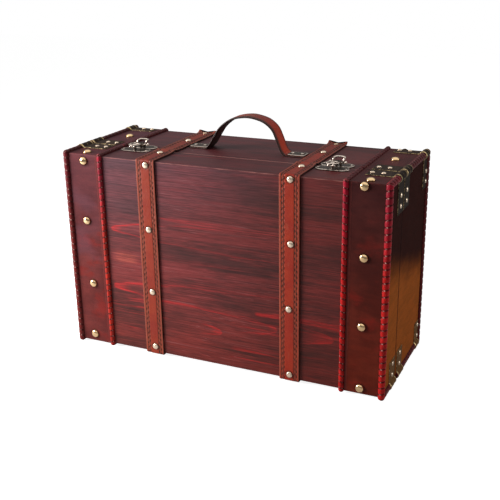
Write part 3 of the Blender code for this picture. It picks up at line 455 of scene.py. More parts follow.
frontWood, boardWood = cherryWood("cherryWoodFront", woodLook, True), cherryWood("cherryWoodBoards", woodLook, False)
maroon, laced = maroonLeather(leatherLook), lacedRed(cordLook)
thread, cloth = threadBrown(threadLook), liningCloth(clothLook)
tan, litHandleTan = tanLeather("strapLeather", strapLook), tanLeather("handleLeatherLit", litHandleLook)
brass, paleBrass, bronze, pewter, steel = (agedMetal(name, look) for name, look in metalLooks.items())
for name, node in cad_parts.items():
    kept = (cloth if "lining" in name else steel if "hinge" in name else frontWood if name == "lid_front_panel"
            else boardWood)
    node.data.materials.clear()
    node.data.materials.append(kept)
print("materials made")


# Mesh helpers
def unit(vectors):
    return vectors / np.linalg.norm(vectors, axis=-1, keepdims=True)


def rounded(values, power):
    # A power that keeps the sign: below 1 it makes a round section squarer
    return np.sign(values) * np.abs(values) ** power


def circle(count):
    return np.arange(count) / count * 2 * math.pi


def ramp(values, start, span):
    # 0 at start and 1 a span further on, straight between and level outside
    return np.clip((values - start) / span, 0, 1)


def bell(values, middle, width):
    # A bell curve: 1 in the middle, and about a third a width away from it
    return np.exp(-((values - middle) / width) ** 2)


def eased(along, reach, least):
    # A size for each length along a piece: a quarter round from least at both ends up to 1
    near = np.clip(np.minimum(along, along[-1] - along) / reach, 0, 1)[:, None]
    return least + (1 - least) * np.sqrt(1 - (1 - near) ** 2)


def lengths(line):
    # The length along a line at each of its points
    return np.concatenate([[0], np.cumsum(np.linalg.norm(np.diff(line, axis=0), axis=1))])


def evened(line, count):
    # The same line with evenly spaced points, and their lengths along it
    length = lengths(line)
    even = np.linspace(0, length[-1], count)
    return np.stack([np.interp(even, length, line[:, i]) for i in (0, 1)], 1), even


def gridFaces(rows, columns, closedRows=False, closedColumns=False):
    # Quads between neighbouring points of a grid whose points are numbered row by row
    a, b = np.meshgrid(np.arange(rows if closedRows else rows - 1),
                       np.arange(columns if closedColumns else columns - 1), indexing="ij")
    c, d = (a + 1) % rows, (b + 1) % columns
    return np.stack([a * columns + b, c * columns + b, c * columns + d, a * columns + d], -1).reshape(-1, 4)


def capFaces(rows, around):
    # Fans from the first and the last ring of a grid to the two points that follow it
    i, last, pole = np.arange(around), (rows - 1) * around, rows * around
    return [np.stack([np.full(around, pole), (i + 1) % around, i], 1),
            np.stack([np.full(around, pole + 1), last + i, last + (i + 1) % around], 1)]


def copied(faces, copies, points):
    # The same faces for several copies of a shape with so many points
    return (faces[None] + (np.arange(copies) * points)[:, None, None]).reshape(-1, faces.shape[1])


def part(points, faces, **marks):
    # A closed surface: points, faces and a value per point for each mark. Faces are turned outwards, which is the
    # way that gives a positive volume: the sum of a . (b x c) over its triangles.
    points = np.asarray(points, float).reshape(-1, 3)
    centred = points - points.mean(0)
    volume = 0.0
    for group in faces:
        for k in range(1, group.shape[1] - 1):
            a, b, c = (centred[group[:, i]] for i in (0, k, k + 1))
            volume += np.einsum("ij,ij->", a, np.cross(b, c))
    if volume < 0:
        faces = [group[:, ::-1] for group in faces]
    return {"points": points, "faces": faces, "marks": {k: np.ravel(v) for k, v in marks.items()}}


def tube(rings, closed=False, **marks):
    # Rings of points, closed round each ring. The path closes on itself, or each end is closed to its middle point.
    rings = np.asarray(rings, float)
    count, around = rings.shape[:2]
    faces, points = [gridFaces(count, around, closed, True)], rings.reshape(-1, 3)
    marks = {k: np.broadcast_to(v, (count, around)) for k, v in marks.items()}
    if not closed:
        points = np.concatenate([points, rings[[0, -1]].mean(1)])
        faces += capFaces(count, around)
        marks = {k: np.append(v, v[[0, -1], 0]) for k, v in marks.items()}
    return part(points, faces, **marks)


def makePiece(name, parts, finish, body, replaced=(), sharpAngle=40, weld=False):
    points = np.concatenate([p["points"] for p in parts])
    starts = np.cumsum([0] + [len(p["points"]) for p in parts])
    corners = np.concatenate([(f + s).ravel() for p, s in zip(parts, starts) for f in p["faces"]])
    totals = np.concatenate([np.full(len(f), f.shape[1]) for p in parts for f in p["faces"]])
    mesh = bpy.data.meshes.new(name)
    mesh.vertices.add(len(points))
    mesh.vertices.foreach_set("co", points.astype(np.float32).ravel())
    mesh.loops.add(len(corners))
    mesh.loops.foreach_set("vertex_index", corners.astype(np.int32))
    mesh.polygons.add(len(totals))
    mesh.polygons.foreach_set("loop_start", (np.cumsum(totals) - totals).astype(np.int32))
    mesh.update(calc_edges=True)
    for label in sorted({k for p in parts for k in p["marks"]}):
        values = np.concatenate([p["marks"].get(label, np.zeros(len(p["points"]))) for p in parts])
        mesh.attributes.new(label, "FLOAT", "POINT").data.foreach_set("value", values.astype(np.float32))
    if weld:  # points that fall together at the mitres
        shape = bmesh.new()
        shape.from_mesh(mesh)
        bmesh.ops.remove_doubles(shape, verts=shape.verts, dist=2e-6)
        bmesh.ops.dissolve_degenerate(shape, edges=shape.edges, dist=1e-6)
        shape.to_mesh(mesh)
        shape.free()
    mesh.validate()
    mesh.polygons.foreach_set("use_smooth", np.ones(len(mesh.polygons), bool))
    mesh.set_sharp_from_angle(angle=math.radians(sharpAngle))
    mesh.materials.append(finish)
    piece = bpy.data.objects.new(name, mesh)
    bpy.context.scene.collection.objects.link(piece)
    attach(piece, body)
    if replaced:
        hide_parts(*replaced)


def wrapPath(faceY, out, topY, bottomY, raised, step):
    # The base line of a strip that runs over the top, down a face and under the bottom, with the way out at each of
    # its points. At a corner the line stays and the way turns a quarter; the length along is taken 3 mm above it.
    y, high, low = faceY + out * raised, woodTop + raised, woodBottom - raised

    def straight(start, end, way):
        count = max(2, round(math.dist(start, end) / step) + 1)
        return np.linspace(start, end, count), np.repeat([way], count, 0)

    def corner(place, start):
        angles = start + np.linspace(0, math.pi / 2, 10)[1:-1]
        return np.repeat([place], len(angles), 0), np.stack([out * np.sin(angles), np.cos(angles)], 1)

    runs = [straight((topY, high), (y, high), (0, 1)), corner((y, high), 0), straight((y, high), (y, low), (out, 0)),
            corner((y, low), math.pi / 2), straight((y, low), (bottomY, low), (0, -1))]
    base, ways = (np.concatenate(group).astype(float) for group in zip(*runs))
    return base, ways, lengths(base + ways * 0.003), (y, high, low)


def onPath(base, ways, limits, out, placeX, across, above):
    # Each profile point stands across the strip and above its base line; points below the line meet at a mitre
    y = base[:, :1] + ways[:, :1] * above
    z = base[:, 1:] + ways[:, 1:] * above
    under = np.minimum(above, 0)
    y = np.where(above < 0, out * np.minimum(out * y, out * limits[0] + under), y)
    z = np.where(above < 0, np.clip(z, limits[2] - under, limits[1] + under), z)
    return np.stack([np.broadcast_to(placeX + across, y.shape), y, z], -1)


def domes(places, ways, radius, height, around=24, rings=7, sink=0.0002, slot=0.0):
    # Nail heads: a short rim, then an oval curve up to the pole; radius falls as cos, height grows as sin. With a
    # slot, two crossed grooves are pressed into the crown. Each head is a little crooked.
    tilt = np.linspace(0, math.pi / 2, rings + 1)[:-1]
    r = np.concatenate([[1.0, 1.0], np.cos(tilt) ** 0.85])[:, None] * radius
    h = np.concatenate([[-sink, height * 0.02], height * (0.1 + 0.9 * np.sin(tilt))])[:, None]
    turn = circle(around) + 0.3
    cross = bell(np.minimum(np.abs(np.sin(turn)), np.abs(np.cos(turn)))[None] * r, 0, radius * 0.14)
    h = h - slot * cross * (r < radius * 0.62)
    shape = np.stack(np.broadcast_arrays(r * np.cos(turn), r * np.sin(turn), h), -1).reshape(-1, 3)
    shape = np.concatenate([shape, [[0, 0, -sink], [0, 0, height - slot]]])
    ways = np.asarray(ways, float)
    ways = unit(ways + rng.normal(0, 0.025, ways.shape))
    helper = np.where(np.abs(ways[:, :1]) > 0.6, [[0.0, 1.0, 0.0]], [[1.0, 0.0, 0.0]])
    first = unit(np.cross(ways, helper))
    points = np.asarray(places, float)[:, None] + shape @ np.stack([first, np.cross(ways, first), ways], 1)
    faces = [gridFaces(rings + 2, around, False, True), np.concatenate(capFaces(rings + 2, around))]
    lift = np.clip(shape[:, 2] / height, 0, 1) ** 0.7
    return part(points, [copied(f, len(places), len(shape)) for f in faces], lift=np.tile(lift, len(places)))


def pressed(points, places, radius, fall):
    # How near each point is to a nail: 1 at its rim, falling like a bell outside it
    far = np.min([np.linalg.norm(points - np.asarray(place), axis=-1) for place in places], 0)
    return bell(np.maximum(far - radius, 0), 0, fall)


# Nails and their rows
nails = {"bandRadius": 0.0055, "strapRadius": 0.0041, "proud": 0.0048, "edge": 0.0068, "rows": 4, "bandX": 0.1932,
         "lidTopY": woodFront + 0.0105, "strapLidY": woodFront + 0.0375, "strapBackY": woodBack - 0.0085,
         "strapBackSize": 0.75,
         # how far each front nail was driven off its even place, from the bottom up: x, z
         "strayBand": {"left": [(-0.0028, 0.003), (0.0012, -0.0045), (-0.001, 0.0013), (0.001, -0.001)],
                       "right": [(-0.0017, 0.0), (-0.0017, -0.002), (-0.0015, 0.0016), (-0.0035, 0.0034)]},
         "strayStrap": {"left": [(0.0012, 0.0023), (0.0012, -0.0022), (0.0009, 0.0007), (0.001, 0.0021)],
                        "right": [(0.0005, 0.0), (-0.0005, 0.0058), (0.002, 0.007), (0.0012, 0.0031)]}}
nailRows = np.linspace(woodBottom + nails["edge"], woodTop - nails["edge"], nails["rows"])

# Leather over the ends
coverLook = {"corner": 0.0012, "innerCorner": 0.00036, "thickness": 0.0009, "pressWidth": 0.0012,
             "bandPoints": 20, "endPoints": 9, "topPoints": 24, "facePoints": 120}


def leatherCover(shell, side, look):
    # A cover over one end of a shell. Rows follow the U from the seam over the top, the face and the bottom; columns
    # go across the band, round the corner, and over the end to its middle. The outer and the inner skin are the same
    # surface at two depths, joined along the seam and the band's inner edge.
    faceY, out, edge = shells[shell]
    sign, flat, onEnd, onTop = sides[side], look["bandPoints"], look["endPoints"], look["topPoints"]
    turns = np.linspace(0, math.pi / 2, 5)[1:-1]
    inward = np.concatenate([np.zeros(flat + len(turns)), np.linspace(0, 1, onEnd)])[:, None]

    def surface(depth, radius):
        y0, top, low = faceY + out * depth, woodTop + depth, woodBottom - depth
        centreY, endX = y0 - out * radius, woodHalf + depth
        ahead, drop = radius * np.sin(turns), radius - radius * np.cos(turns)
        run = np.stack([np.linspace(edge, centreY, onTop), np.full(onTop, top)], 1)
        down = np.linspace(top - radius, low + radius, look["facePoints"])
        line = np.concatenate([run, np.stack([centreY + out * ahead, top - drop], 1),
                               np.stack([np.full(len(down), y0), down], 1),
                               np.stack([y0 - out * drop, low + radius - ahead], 1), run[::-1] * [1, 0] + [0, low]])
        x = np.concatenate([np.linspace(bandInner, endX - radius, flat), endX - radius + ahead, np.full(onEnd, endX)])
        grid = line[:, None] + ([edge, (top + low) / 2] - line)[:, None] * inward
        return np.concatenate([np.broadcast_to(sign * x, grid.shape[:2])[..., None], grid], -1)

    outer = surface(skin, look["corner"])
    inner = surface(skin - look["thickness"], look["innerCorner"])
    rows, columns = outer.shape[:2]
    count = rows * columns
    places = [(sign * nails["bandX"] + dx, faceY + out * skin, z + dz)
              for z, (dx, dz) in zip(nailRows, nails["strayBand"][side])]
    places.append((sign * nails["bandX"], nails["lidTopY"] if shell == "lid" else baseMiddle, woodTop + skin))
    rim = np.zeros((rows, columns))
    rim[:, :2] = 1
    rim[onTop:onTop + 3, :flat] = 0.8
    faces = gridFaces(rows, columns)
    r, c, last = np.arange(rows - 1) * columns, np.arange(columns - 1), count - columns
    strips = [np.stack([r, r + columns, count + r + columns, count + r], 1)[:, ::-1],
              np.stack([c, c + 1, count + c + 1, count + c], 1),
              np.stack([last + c, last + c + 1, count + last + c + 1, count + last + c], 1)[:, ::-1]]
    cover = part(np.concatenate([outer.reshape(-1, 3), inner.reshape(-1, 3)]),
                 [faces, faces[:, ::-1] + count] + strips, rim=np.append(rim, np.zeros(count)),
                 dent=np.append(pressed(outer, places, nails["bandRadius"], look["pressWidth"]), np.zeros(count)))
    name = f"{shell}{side.title()}"
    makePiece(name + "Leather", [cover], maroon, shell, [f"{shell}_{side}_leather"], 50, True)
    heads = domes(places, [(0, out, 0)] * nails["rows"] + [(0, 0, 1)], nails["bandRadius"], nails["proud"] - skin)
    makePiece(name + "BandNails", [heads], brass, shell)


for side in sides:
    for shell in shells:
        leatherCover(shell, side, coverLook)
print("leather ends and band nails made")

# Laced cords
cords = {"pitch": 0.00857, "depth": 0.26, "slant": 0.36, "step": 0.00066, "width": 0.0072, "proud": 0.004,
         "round": 0.0044, "inset": 0.0009, "topSetback": 0.0006, "bottomSetback": 0.0036, "endLength": 0.0016,
         "innerX": bandInner - fitGap - 0.0036, "around": {"Inner": 17, "Outer": 19},
         # how much darker some runs of cord are drawn, and how strong the painted highlight on the top corner is
         "leftDim": 0.78, "baseDim": 0.86, "lowDim": 0.8, "topRight": 0.45, "crown": 0.34}


def lacing(along, turn, look):
    # Each turn of lacing is a puffed band: phase runs along the cord with a slant across it. Puff is 1 in the middle
    # of a band and 0 in the groove between two. Pale thread shows in the grooves on both flanks, its specks also
    # standing in as painted highlights.
    phase = along / look["pitch"] + look["slant"] * turn
    off = np.abs((phase % 1.0) - 0.5) * 2
    puff = np.sqrt(np.clip(1 - off ** 4, 0, 1))
    flank = np.abs(turn - 0.5)
    groove = np.maximum(ramp(off, 0.62, 0.3), 0.5 * ramp(flank, 0.3, 0.16))
    uneven = 0.25 + 0.75 * np.sin(np.floor(phase + 0.5) * 2.4 + np.sign(turn - 0.5)) ** 2
    return puff, groove, ramp(off, 0.82, 0.08) * uneven * bell(flank, 0.22, 0.05)


def makeCord(shell, side, kind, look):
    faceY, out, edge = shells[shell]
    sign, onRim = sides[side], kind == "Outer"
    base, ways, along, limits = wrapPath(faceY, out, edge + out * look["topSetback"],
                                         edge + out * look["bottomSetback"], skin if onRim else 0.0, look["step"])
    turn = np.linspace(0, 1, look["around"][kind])[None]
    puff, groove, threadAndHighlight = lacing(along[:, None], turn, look)
    # the cord shrinks as a quarter round towards both ends
    size = (1 - look["depth"] * (1 - puff) + 0.05 * threadAndHighlight) * eased(along, look["endLength"], 0.62)
    if onRim:
        # the part of a round set into the edge that stands clear of both faces, and the point of the corner
        reach = math.acos((look["inset"] + fitGap) / look["round"])
        angle = math.pi / 2 + reach - turn * (math.pi / 2 + 2 * reach)
        across = look["round"] * size * np.cos(angle) - look["inset"]
        above = look["round"] * size * np.sin(angle) - look["inset"]
        above = np.where(turn < 0.5, np.maximum(above, fitGap), above)
        across = np.where(turn > 0.5, np.maximum(across, fitGap), across)
        across, above = (np.pad(v, ((0, 0), (0, 1)), constant_values=fitGap) for v in (across, above))
        placeX = woodHalf + skin
    else:
        across = look["width"] / 2 * np.cos(math.pi * turn) * (0.35 + 0.65 * size)
        above = fitGap + (look["proud"] - fitGap) * np.sin(math.pi * turn) * size
        placeX = look["innerX"]
    up = ways[:, 1:]
    dimmed = 0 if not onRim else look["leftDim"] if sign < 0 else look["baseDim"] if shell == "base" else 0
    if shell == "lid" and not (onRim and sign < 0):  # a painted highlight on the corner at the top
        bend = bell(up, 0.62, 0.22) * (up > 0.05) * (up < 0.999)
        threadAndHighlight = np.maximum(threadAndHighlight, look["crown"] * bend * bell(turn, 0.45, 0.2) * (1 - groove))
    marks = {"groove": groove, "thread": threadAndHighlight,
             "onTop": ramp(up, 0.75, 0.25) * (look["topRight"] if onRim and sign > 0 else 1),
             "dim": np.maximum(dimmed, look["lowDim"] * np.clip(-up, 0, 1))}
    if onRim:
        marks = {k: np.pad(np.broadcast_to(v, groove.shape), ((0, 0), (0, 1)), "edge") for k, v in marks.items()}
    rings = onPath(base, ways, limits, out, placeX, across, above) * [sign, 1, 1]
    makePiece(f"{shell}{side.title()}{kind}Cord", [tube(rings, **marks)], laced, shell,
              [f"{shell}_{side}_{kind.lower()}_cord"], 60, onRim)


for side in sides:
    for shell in shells:
        for kind in ("Inner", "Outer"):
            makeCord(shell, side, kind, cords)
print("cords made")

# Straps
straps = {"x": 0.0985, "width": 0.0268, "thickness": 0.0024, "round": 0.0008, "crown": 0.0002, "step": 0.0011,
          "setback": 0.0015, "kick": 0.0018, "kickLength": 0.015, "curl": 0.0036, "curlLength": 0.008,
          "endLength": 0.0009, "waviness": 0.00006, "rows": (0.0069, 0.0097), "groove": 0.00035, "grooveWidth": 0.0008,
          "stitchPitch": 0.0071, "stitchLength": 0.004, "stitchWidth": 0.0011, "stitchSlant": 0.22,
          "press": 0.0004, "pressWidth": 0.0013, "tarnish": 0.3}


def strapProfile(look):
    # One turn round the strap: the top from left to right with its sewing grooves, the right edge, the flat
    # underside, the left edge. Top is 1 on the upper side and 0 below.
    half, r = look["width"] / 2, look["round"]
    topCount = 57
    across = np.linspace(-half + r, half - r, topCount)
    grooves = sum(bell(np.abs(across), row, look["grooveWidth"]) for row in look["rows"])
    above = fitGap + look["thickness"] - look["crown"] * (across / half) ** 2 - look["groove"] * grooves
    turns = np.linspace(0, math.pi / 2, 5)[1:]
    edgeA, edgeV = half - r + r * np.sin(turns), above[-1] - r + r * np.cos(turns)
    under = np.array([half - 0.0003, 0.5 * half, -0.5 * half, -half + 0.0003])
    a = np.concatenate([across, edgeA, [half], under, [-half], -edgeA[::-1]])
    v = np.concatenate([above, edgeV, [fitGap + 0.0004], np.full(4, fitGap), [fitGap + 0.0004], edgeV[::-1]])
    top = np.concatenate([np.ones(topCount), np.linspace(1, 0.2, 4), np.zeros(6), np.linspace(0.2, 1, 4)])
    marks = {"sewn": np.pad(np.clip(grooves, 0, 1), (0, len(a) - topCount)),
             "seamBand": ramp(np.abs(a), look["rows"][0] - look["grooveWidth"], 0.0006) * (top > 0.5),
             "rim": bell(np.abs(a), half, 0.0012) * (top > 0.5), "cutEdge": ramp(top, 0.75, -0.3)}
    return a, v, top > 0.5, marks


def stitchParts(base, ways, along, place, look, lift):
    # Short six-sided capsules of thread along each row, each turned a little across the strap
    count = int((along[-1] - 0.008) / look["stitchPitch"])
    parts, ring, t = [], circle(6), np.linspace(-1, 1, 5)
    fat = np.sqrt(np.clip(1 - t ** 4, 0.08, 1)) * look["stitchWidth"] / 2
    hexagon = np.arange(6)[None]
    for index, row in enumerate(r * w for w in (-1, 1) for r in look["rows"]):
        middle = 0.005 + (np.arange(count) + 0.35 * (index % 2)) * look["stitchPitch"]
        s = middle[:, None] + t[None] * look["stitchLength"] / 2
        a = row + t[None] * look["stitchLength"] / 2 * look["stitchSlant"] * np.sign(row) + 0 * s
        y0, z0, w0, w1 = (np.interp(s, along, v) for v in (*base.T, *ways.T))
        level = fitGap + look["thickness"] - look["groove"] * 0.8 + lift(y0, w1, row)
        x = place + a[..., None] + fat[:, None] * np.cos(ring)
        h = level[..., None] + 0.0001 + fat[:, None] * 0.8 * np.sin(ring)
        points = np.stack([x, y0[..., None] + w0[..., None] * h, z0[..., None] + w1[..., None] * h], -1)
        parts.append(part(points, [copied(f, count, 30) for f in (gridFaces(5, 6, False, True), hexagon[:, ::-1],
                                                                  hexagon + 24)]))
    return parts


def makeStrap(shell, side, look):
    faceY, out, edge = shells[shell]
    place, end, top = sides[side] * look["x"], edge + out * look["setback"], woodTop + fitGap + look["thickness"]
    if shell == "lid":
        base, ways, along, limits = wrapPath(faceY, out, end, end, 0.0, look["step"])
        onFace = np.abs(ways[:, 1]) < 0.01
        driven = [(z + dz, dx) for z, (dx, dz) in zip(nailRows, nails["strayStrap"][side])]
        spots = [(np.interp(-z, -base[onFace, 1], along[onFace]), dx) for z, dx in driven]
        spots.append((abs(nails["strapLidY"] - end), 0.0))
        heads = [(place + dx, faceY - fitGap - look["thickness"], z) for z, dx in driven]
        heads.append((place, nails["strapLidY"], top))
        headWays = [(0, -1, 0)] * nails["rows"] + [(0, 0, 1)]
    else:
        y = np.linspace(end, woodBack, int((woodBack - end) / look["step"]))
        base, ways = np.stack([y, np.full_like(y, woodTop)], 1), np.tile([0.0, 1.0], (len(y), 1))
        along, limits = y - y[0], (woodBack, woodTop, woodBottom)
        rows = (baseMiddle, nails["strapBackY"])
        spots = [(row - end, 0.0) for row in rows]
        heads, headWays = [(place, row, top) for row in rows], [(0, 0, 1)] * 2

    def lift(y, up, across):
        # the end at the seam kicks up, and the sides of the rear end curl up
        near = np.clip(1 - np.abs(y - end) / look["kickLength"], 0, 1)
        raised = (look["kick"] if shell == "lid" else look["kick"] / 4) * near ** 2 * (up > 0.5)
        if shell == "base":
            back = np.clip(1 - (woodBack - y) / look["curlLength"], 0, 1)
            share = ramp(np.abs(across) / (look["width"] / 2), 0.3, 0.55)
            raised = raised + look["curl"] * back ** 2 * share ** 1.4
        return raised

    a, v, onTop, marks = strapProfile(look)
    s, middle = along[:, None], fitGap + look["thickness"] / 2
    ends = eased(along, look["endLength"], 0.6)
    dent = pressed(np.stack(np.broadcast_arrays(s, a), -1), spots, nails["strapRadius"],
                   look["pressWidth"]) * onTop
    above = middle + (v - middle) * ends + lift(base[:, :1], ways[:, 1:], a)
    above = above - look["press"] * dent + look["waviness"] * np.sin(s * 190 + a * 150) * onTop
    rings = onPath(base, ways, limits, out, place, a * (0.985 + 0.015 * ends), above)
    marks["cutEdge"] = np.maximum(marks["cutEdge"], ramp(ends, ends.min() + 0.36, -0.1))
    name = f"{shell}{side.title()}"
    makePiece(name + "Strap", [tube(rings, dent=dent, **marks)], tan, shell,
              [f"{shell}_{side}_strap"], 50)
    stitches = stitchParts(base, ways, along, place, look, lift)
    makePiece(name + "Stitches", stitches, thread, shell, (), 60)
    radius, height = nails["strapRadius"], nails["proud"] - fitGap - look["thickness"]
    full = 5 if shell == "lid" else 1
    crowns = [domes(heads[:full], headWays[:full], radius, height)]
    if heads[full:]:  # the rearmost nail is small and tarnished
        size = nails["strapBackSize"]
        crowns.append(domes(heads[full:], headWays[full:], radius * size, height * size))
        crowns[-1]["marks"]["lift"] *= look["tarnish"]
    makePiece(name + "StrapNails", crowns, paleBrass, shell)


for side in sides:
    for shell in shells:
        makeStrap(shell, side, straps)
print("straps made")

# Corner brackets
brackets = {"thickness": 0.0007, "topLeg": 0.04, "sideLeg": {"top": 0.046, "bottom": 0.034}, "round": 0.0044,
            "inset": 0.0009, "rib": 0.00035, "ribs": ((0.07, 1.0), (0.5, 0.6), (0.93, 1.0)), "ribWidth": 0.0009,
            "border": 0.00014, "borderIn": 0.0017, "borderWidth": 0.0005, "edge": 0.0003, "edgeWear": 0.0008,
            # nails stand at shares of the plate's width and of the legs' lengths
            "nailRadius": 0.003, "nailHeight": 0.0014, "nailY": {"lid": 0.5, "base": 0.5, "rear": 0.726},
            "topShares": (0.52, 0.86), "sideShares": {"top": (0.51, 0.8), "bottom": (0.38, 0.84)}}


def bracketLine(sideLeg, look):
    # Seen along the box's edge: a leg on the top, a bulge over the cord, a leg on the end. u is out of the end, v is
    # out of the top, from the leather's edge. The inner corners are eased by averaging neighbours.
    over, centre = fitGap + look["thickness"], -look["inset"]
    radius = look["round"] + over
    reach = math.acos((over - centre) / radius)
    angles = np.linspace(math.pi / 2 + reach, -reach, 40)
    arc = centre + radius * np.stack([np.cos(angles), np.sin(angles)], 1)
    onTop = np.stack([np.linspace(-look["topLeg"], arc[0, 0], 60), np.full(60, over)], 1)[:-1]
    onEnd = np.stack([np.full(60, over), np.linspace(arc[-1, 1], -sideLeg, 60)], 1)[1:]
    line, even = evened(np.concatenate([onTop, arc, onEnd]), 170)
    for _ in range(3):
        line[1:-1] = (line[:-2] + line[1:-1] * 2 + line[2:]) / 4
    along = unit(np.gradient(line, axis=0))
    normal = np.stack([-along[:, 1], along[:, 0]], 1)
    bulge = (np.linalg.norm(line - centre, axis=1) < radius * 1.25).astype(float)[:, None]
    return line, normal, even, bulge


def makeBracket(place, level, side, look):
    node = f"{place}_{level}_{side}_bracket"
    sign, up = sides[side], 1 if level == "top" else -1
    low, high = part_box(node)
    y0, y1, sideLeg = low[1], high[1], look["sideLeg"][level]
    line, normal, even, bulge = bracketLine(sideLeg, look)
    y = np.concatenate([[y0, y0 + 0.00012, y0 + 0.0004], np.linspace(y0 + 0.001, y1 - 0.001, 25),
                        [y1 - 0.0004, y1 - 0.00012, y1]])
    rim = np.minimum(np.minimum(y - y0, y1 - y)[None], np.minimum(even, even[-1] - even)[:, None])
    # ribs across the bulge near both edges and in the middle, and a pressed border line on the legs
    ribs = sum(h * bell(y, y0 + r * (y1 - y0), look["ribWidth"]) for r, h in look["ribs"])
    ribs = np.clip(ribs, 0, 1)[None]
    border = bell(rim, look["borderIn"], look["borderWidth"]) * (1 - bulge)
    soft = np.convolve(np.pad(bulge[:, 0], 4, "edge"), np.ones(9) / 9, "valid")[:, None]
    drop = np.maximum(look["edge"] - rim, 0) / look["edge"] * look["thickness"] * 0.55
    out = -drop - look["border"] * border - look["rib"] * soft * (1 - ribs)
    outer = line[:, None] + normal[:, None] * out[..., None]
    inner = line[:, None] - normal[:, None] * look["thickness"] * 0.9 + 0 * outer
    lift = np.clip(0.16 + 0.56 * bell(rim, 0, look["edgeWear"]) + 0.95 * soft * ribs - 0.35 * border, 0, 1)
    cornerX, cornerZ = woodHalf + skin, (woodTop + skin if up > 0 else woodBottom - skin)
    grid = np.concatenate([outer, inner[:, ::-1]], 1)
    rings = np.stack([sign * (cornerX + grid[..., 0]), np.broadcast_to(np.append(y, y[::-1]), grid.shape[:2]),
                      cornerZ + up * grid[..., 1]], -1)
    plate = tube(rings, lift=np.concatenate([lift, lift[:, ::-1] * 0.3], 1))
    face, nailY = fitGap + look["thickness"], y0 + (y1 - y0) * look["nailY"][place]
    heads = [(sign * (cornerX - look["topLeg"] * s), nailY, cornerZ + up * face) for s in look["topShares"]]
    heads += [(sign * (cornerX + face), nailY, cornerZ - up * sideLeg * s) for s in look["sideShares"][level]]
    crowns = domes(heads, [(0, 0, up)] * 2 + [(sign, 0, 0)] * 2, look["nailRadius"], look["nailHeight"], 20, 6, 0.0001)
    body, name = "lid" if place == "lid" else "base", f"{place}{level.title()}{side.title()}Bracket"
    makePiece(name, [plate], bronze, body, [node], 50)
    makePiece(name + "Nails", [crowns], paleBrass, body)


for side in sides:
    for level in ("top", "bottom"):
        for place in ("lid", "base", "rear"):
            makeBracket(place, level, side, brackets)
print("brackets made")


# Latches
def rod(start, end, radius, around=16, flat=1.0, ease=0.25):
    # A round bar with eased ends between two points; flat squeezes it in the second direction
    start, end = np.asarray(start, float), np.asarray(end, float)
    way, length = unit(end - start), math.dist(start, end)
    helper = np.array([0, 0, 1.0]) if abs(way[2]) < 0.9 else np.array([0, 1.0, 0])
    first = unit(np.cross(way, helper))
    ease = min(ease * radius, length / 4)
    s = np.array([0, ease * 0.4, ease, length - ease, length - ease * 0.4, length])[:, None, None]
    r = radius * np.array([0.55, 0.88, 1, 1, 0.88, 0.55])[:, None, None]
    turn = circle(around)[:, None]
    rings = start + way * s + first * r * np.cos(turn) + np.cross(way, first) * r * np.sin(turn) * flat
    return tube(rings, lift=np.clip(0.72 + 0.25 * np.sin(turn[:, 0]), 0, 1))


def ball(centre, radius):
    # A sphere as rings: radius sin(t), height cos(t)
    t, turn = np.linspace(0.12, math.pi - 0.12, 10)[:, None], circle(16)
    rings = np.stack([np.cos(t) + 0 * turn, np.sin(t) * np.cos(turn), np.sin(t) * np.sin(turn)], -1) * radius
    return tube(rings + np.asarray(centre), lift=0.9)


def ovalRing(centre, halfX, halfY, wide, thick, tilt=0.0, span=(0, 2 * math.pi), power=1.0):
    # A bar of oval section bent along an ellipse that lies level, or tilted about X; a power below 1 squares it
    closed = span[1] - span[0] > 6.2
    t = np.linspace(*span, 57)[:-1] if closed else np.linspace(*span, 49)
    turn, c, s = circle(14), np.cos(t), np.sin(t)
    line = np.stack([halfX * rounded(c, power), halfY * rounded(s, power)], 1)
    normal = unit(np.stack([halfY * rounded(c, 2 - power), halfX * rounded(s, 2 - power)], 1))
    grow, high = rounded(np.cos(turn), 0.8) * wide / 2, rounded(np.sin(turn), 0.8) * thick / 2
    x, y = (line[:, i:i + 1] + normal[:, i:i + 1] * grow for i in (0, 1))
    z = high + 0 * x
    c, s = math.cos(tilt), math.sin(tilt)
    rings = np.stack([x, y * c - z * s, y * s + z * c], -1) + np.asarray(centre)
    return tube(rings, closed, lift=np.clip(0.55 + 0.4 * np.sin(turn), 0, 1))


def stepped(outline, half, centre, steps):
    # A plate: its outline about the origin is stepped inwards by inset and upwards by height, with a mark lift
    inset, height, lift = (np.array(v)[:, None, None] for v in zip(*steps))
    rings = outline * (1 - inset / np.asarray(half))
    rings = np.concatenate([rings, height + 0 * rings[..., :1]], -1) + np.asarray(centre)
    return tube(rings, lift=lift[..., 0])


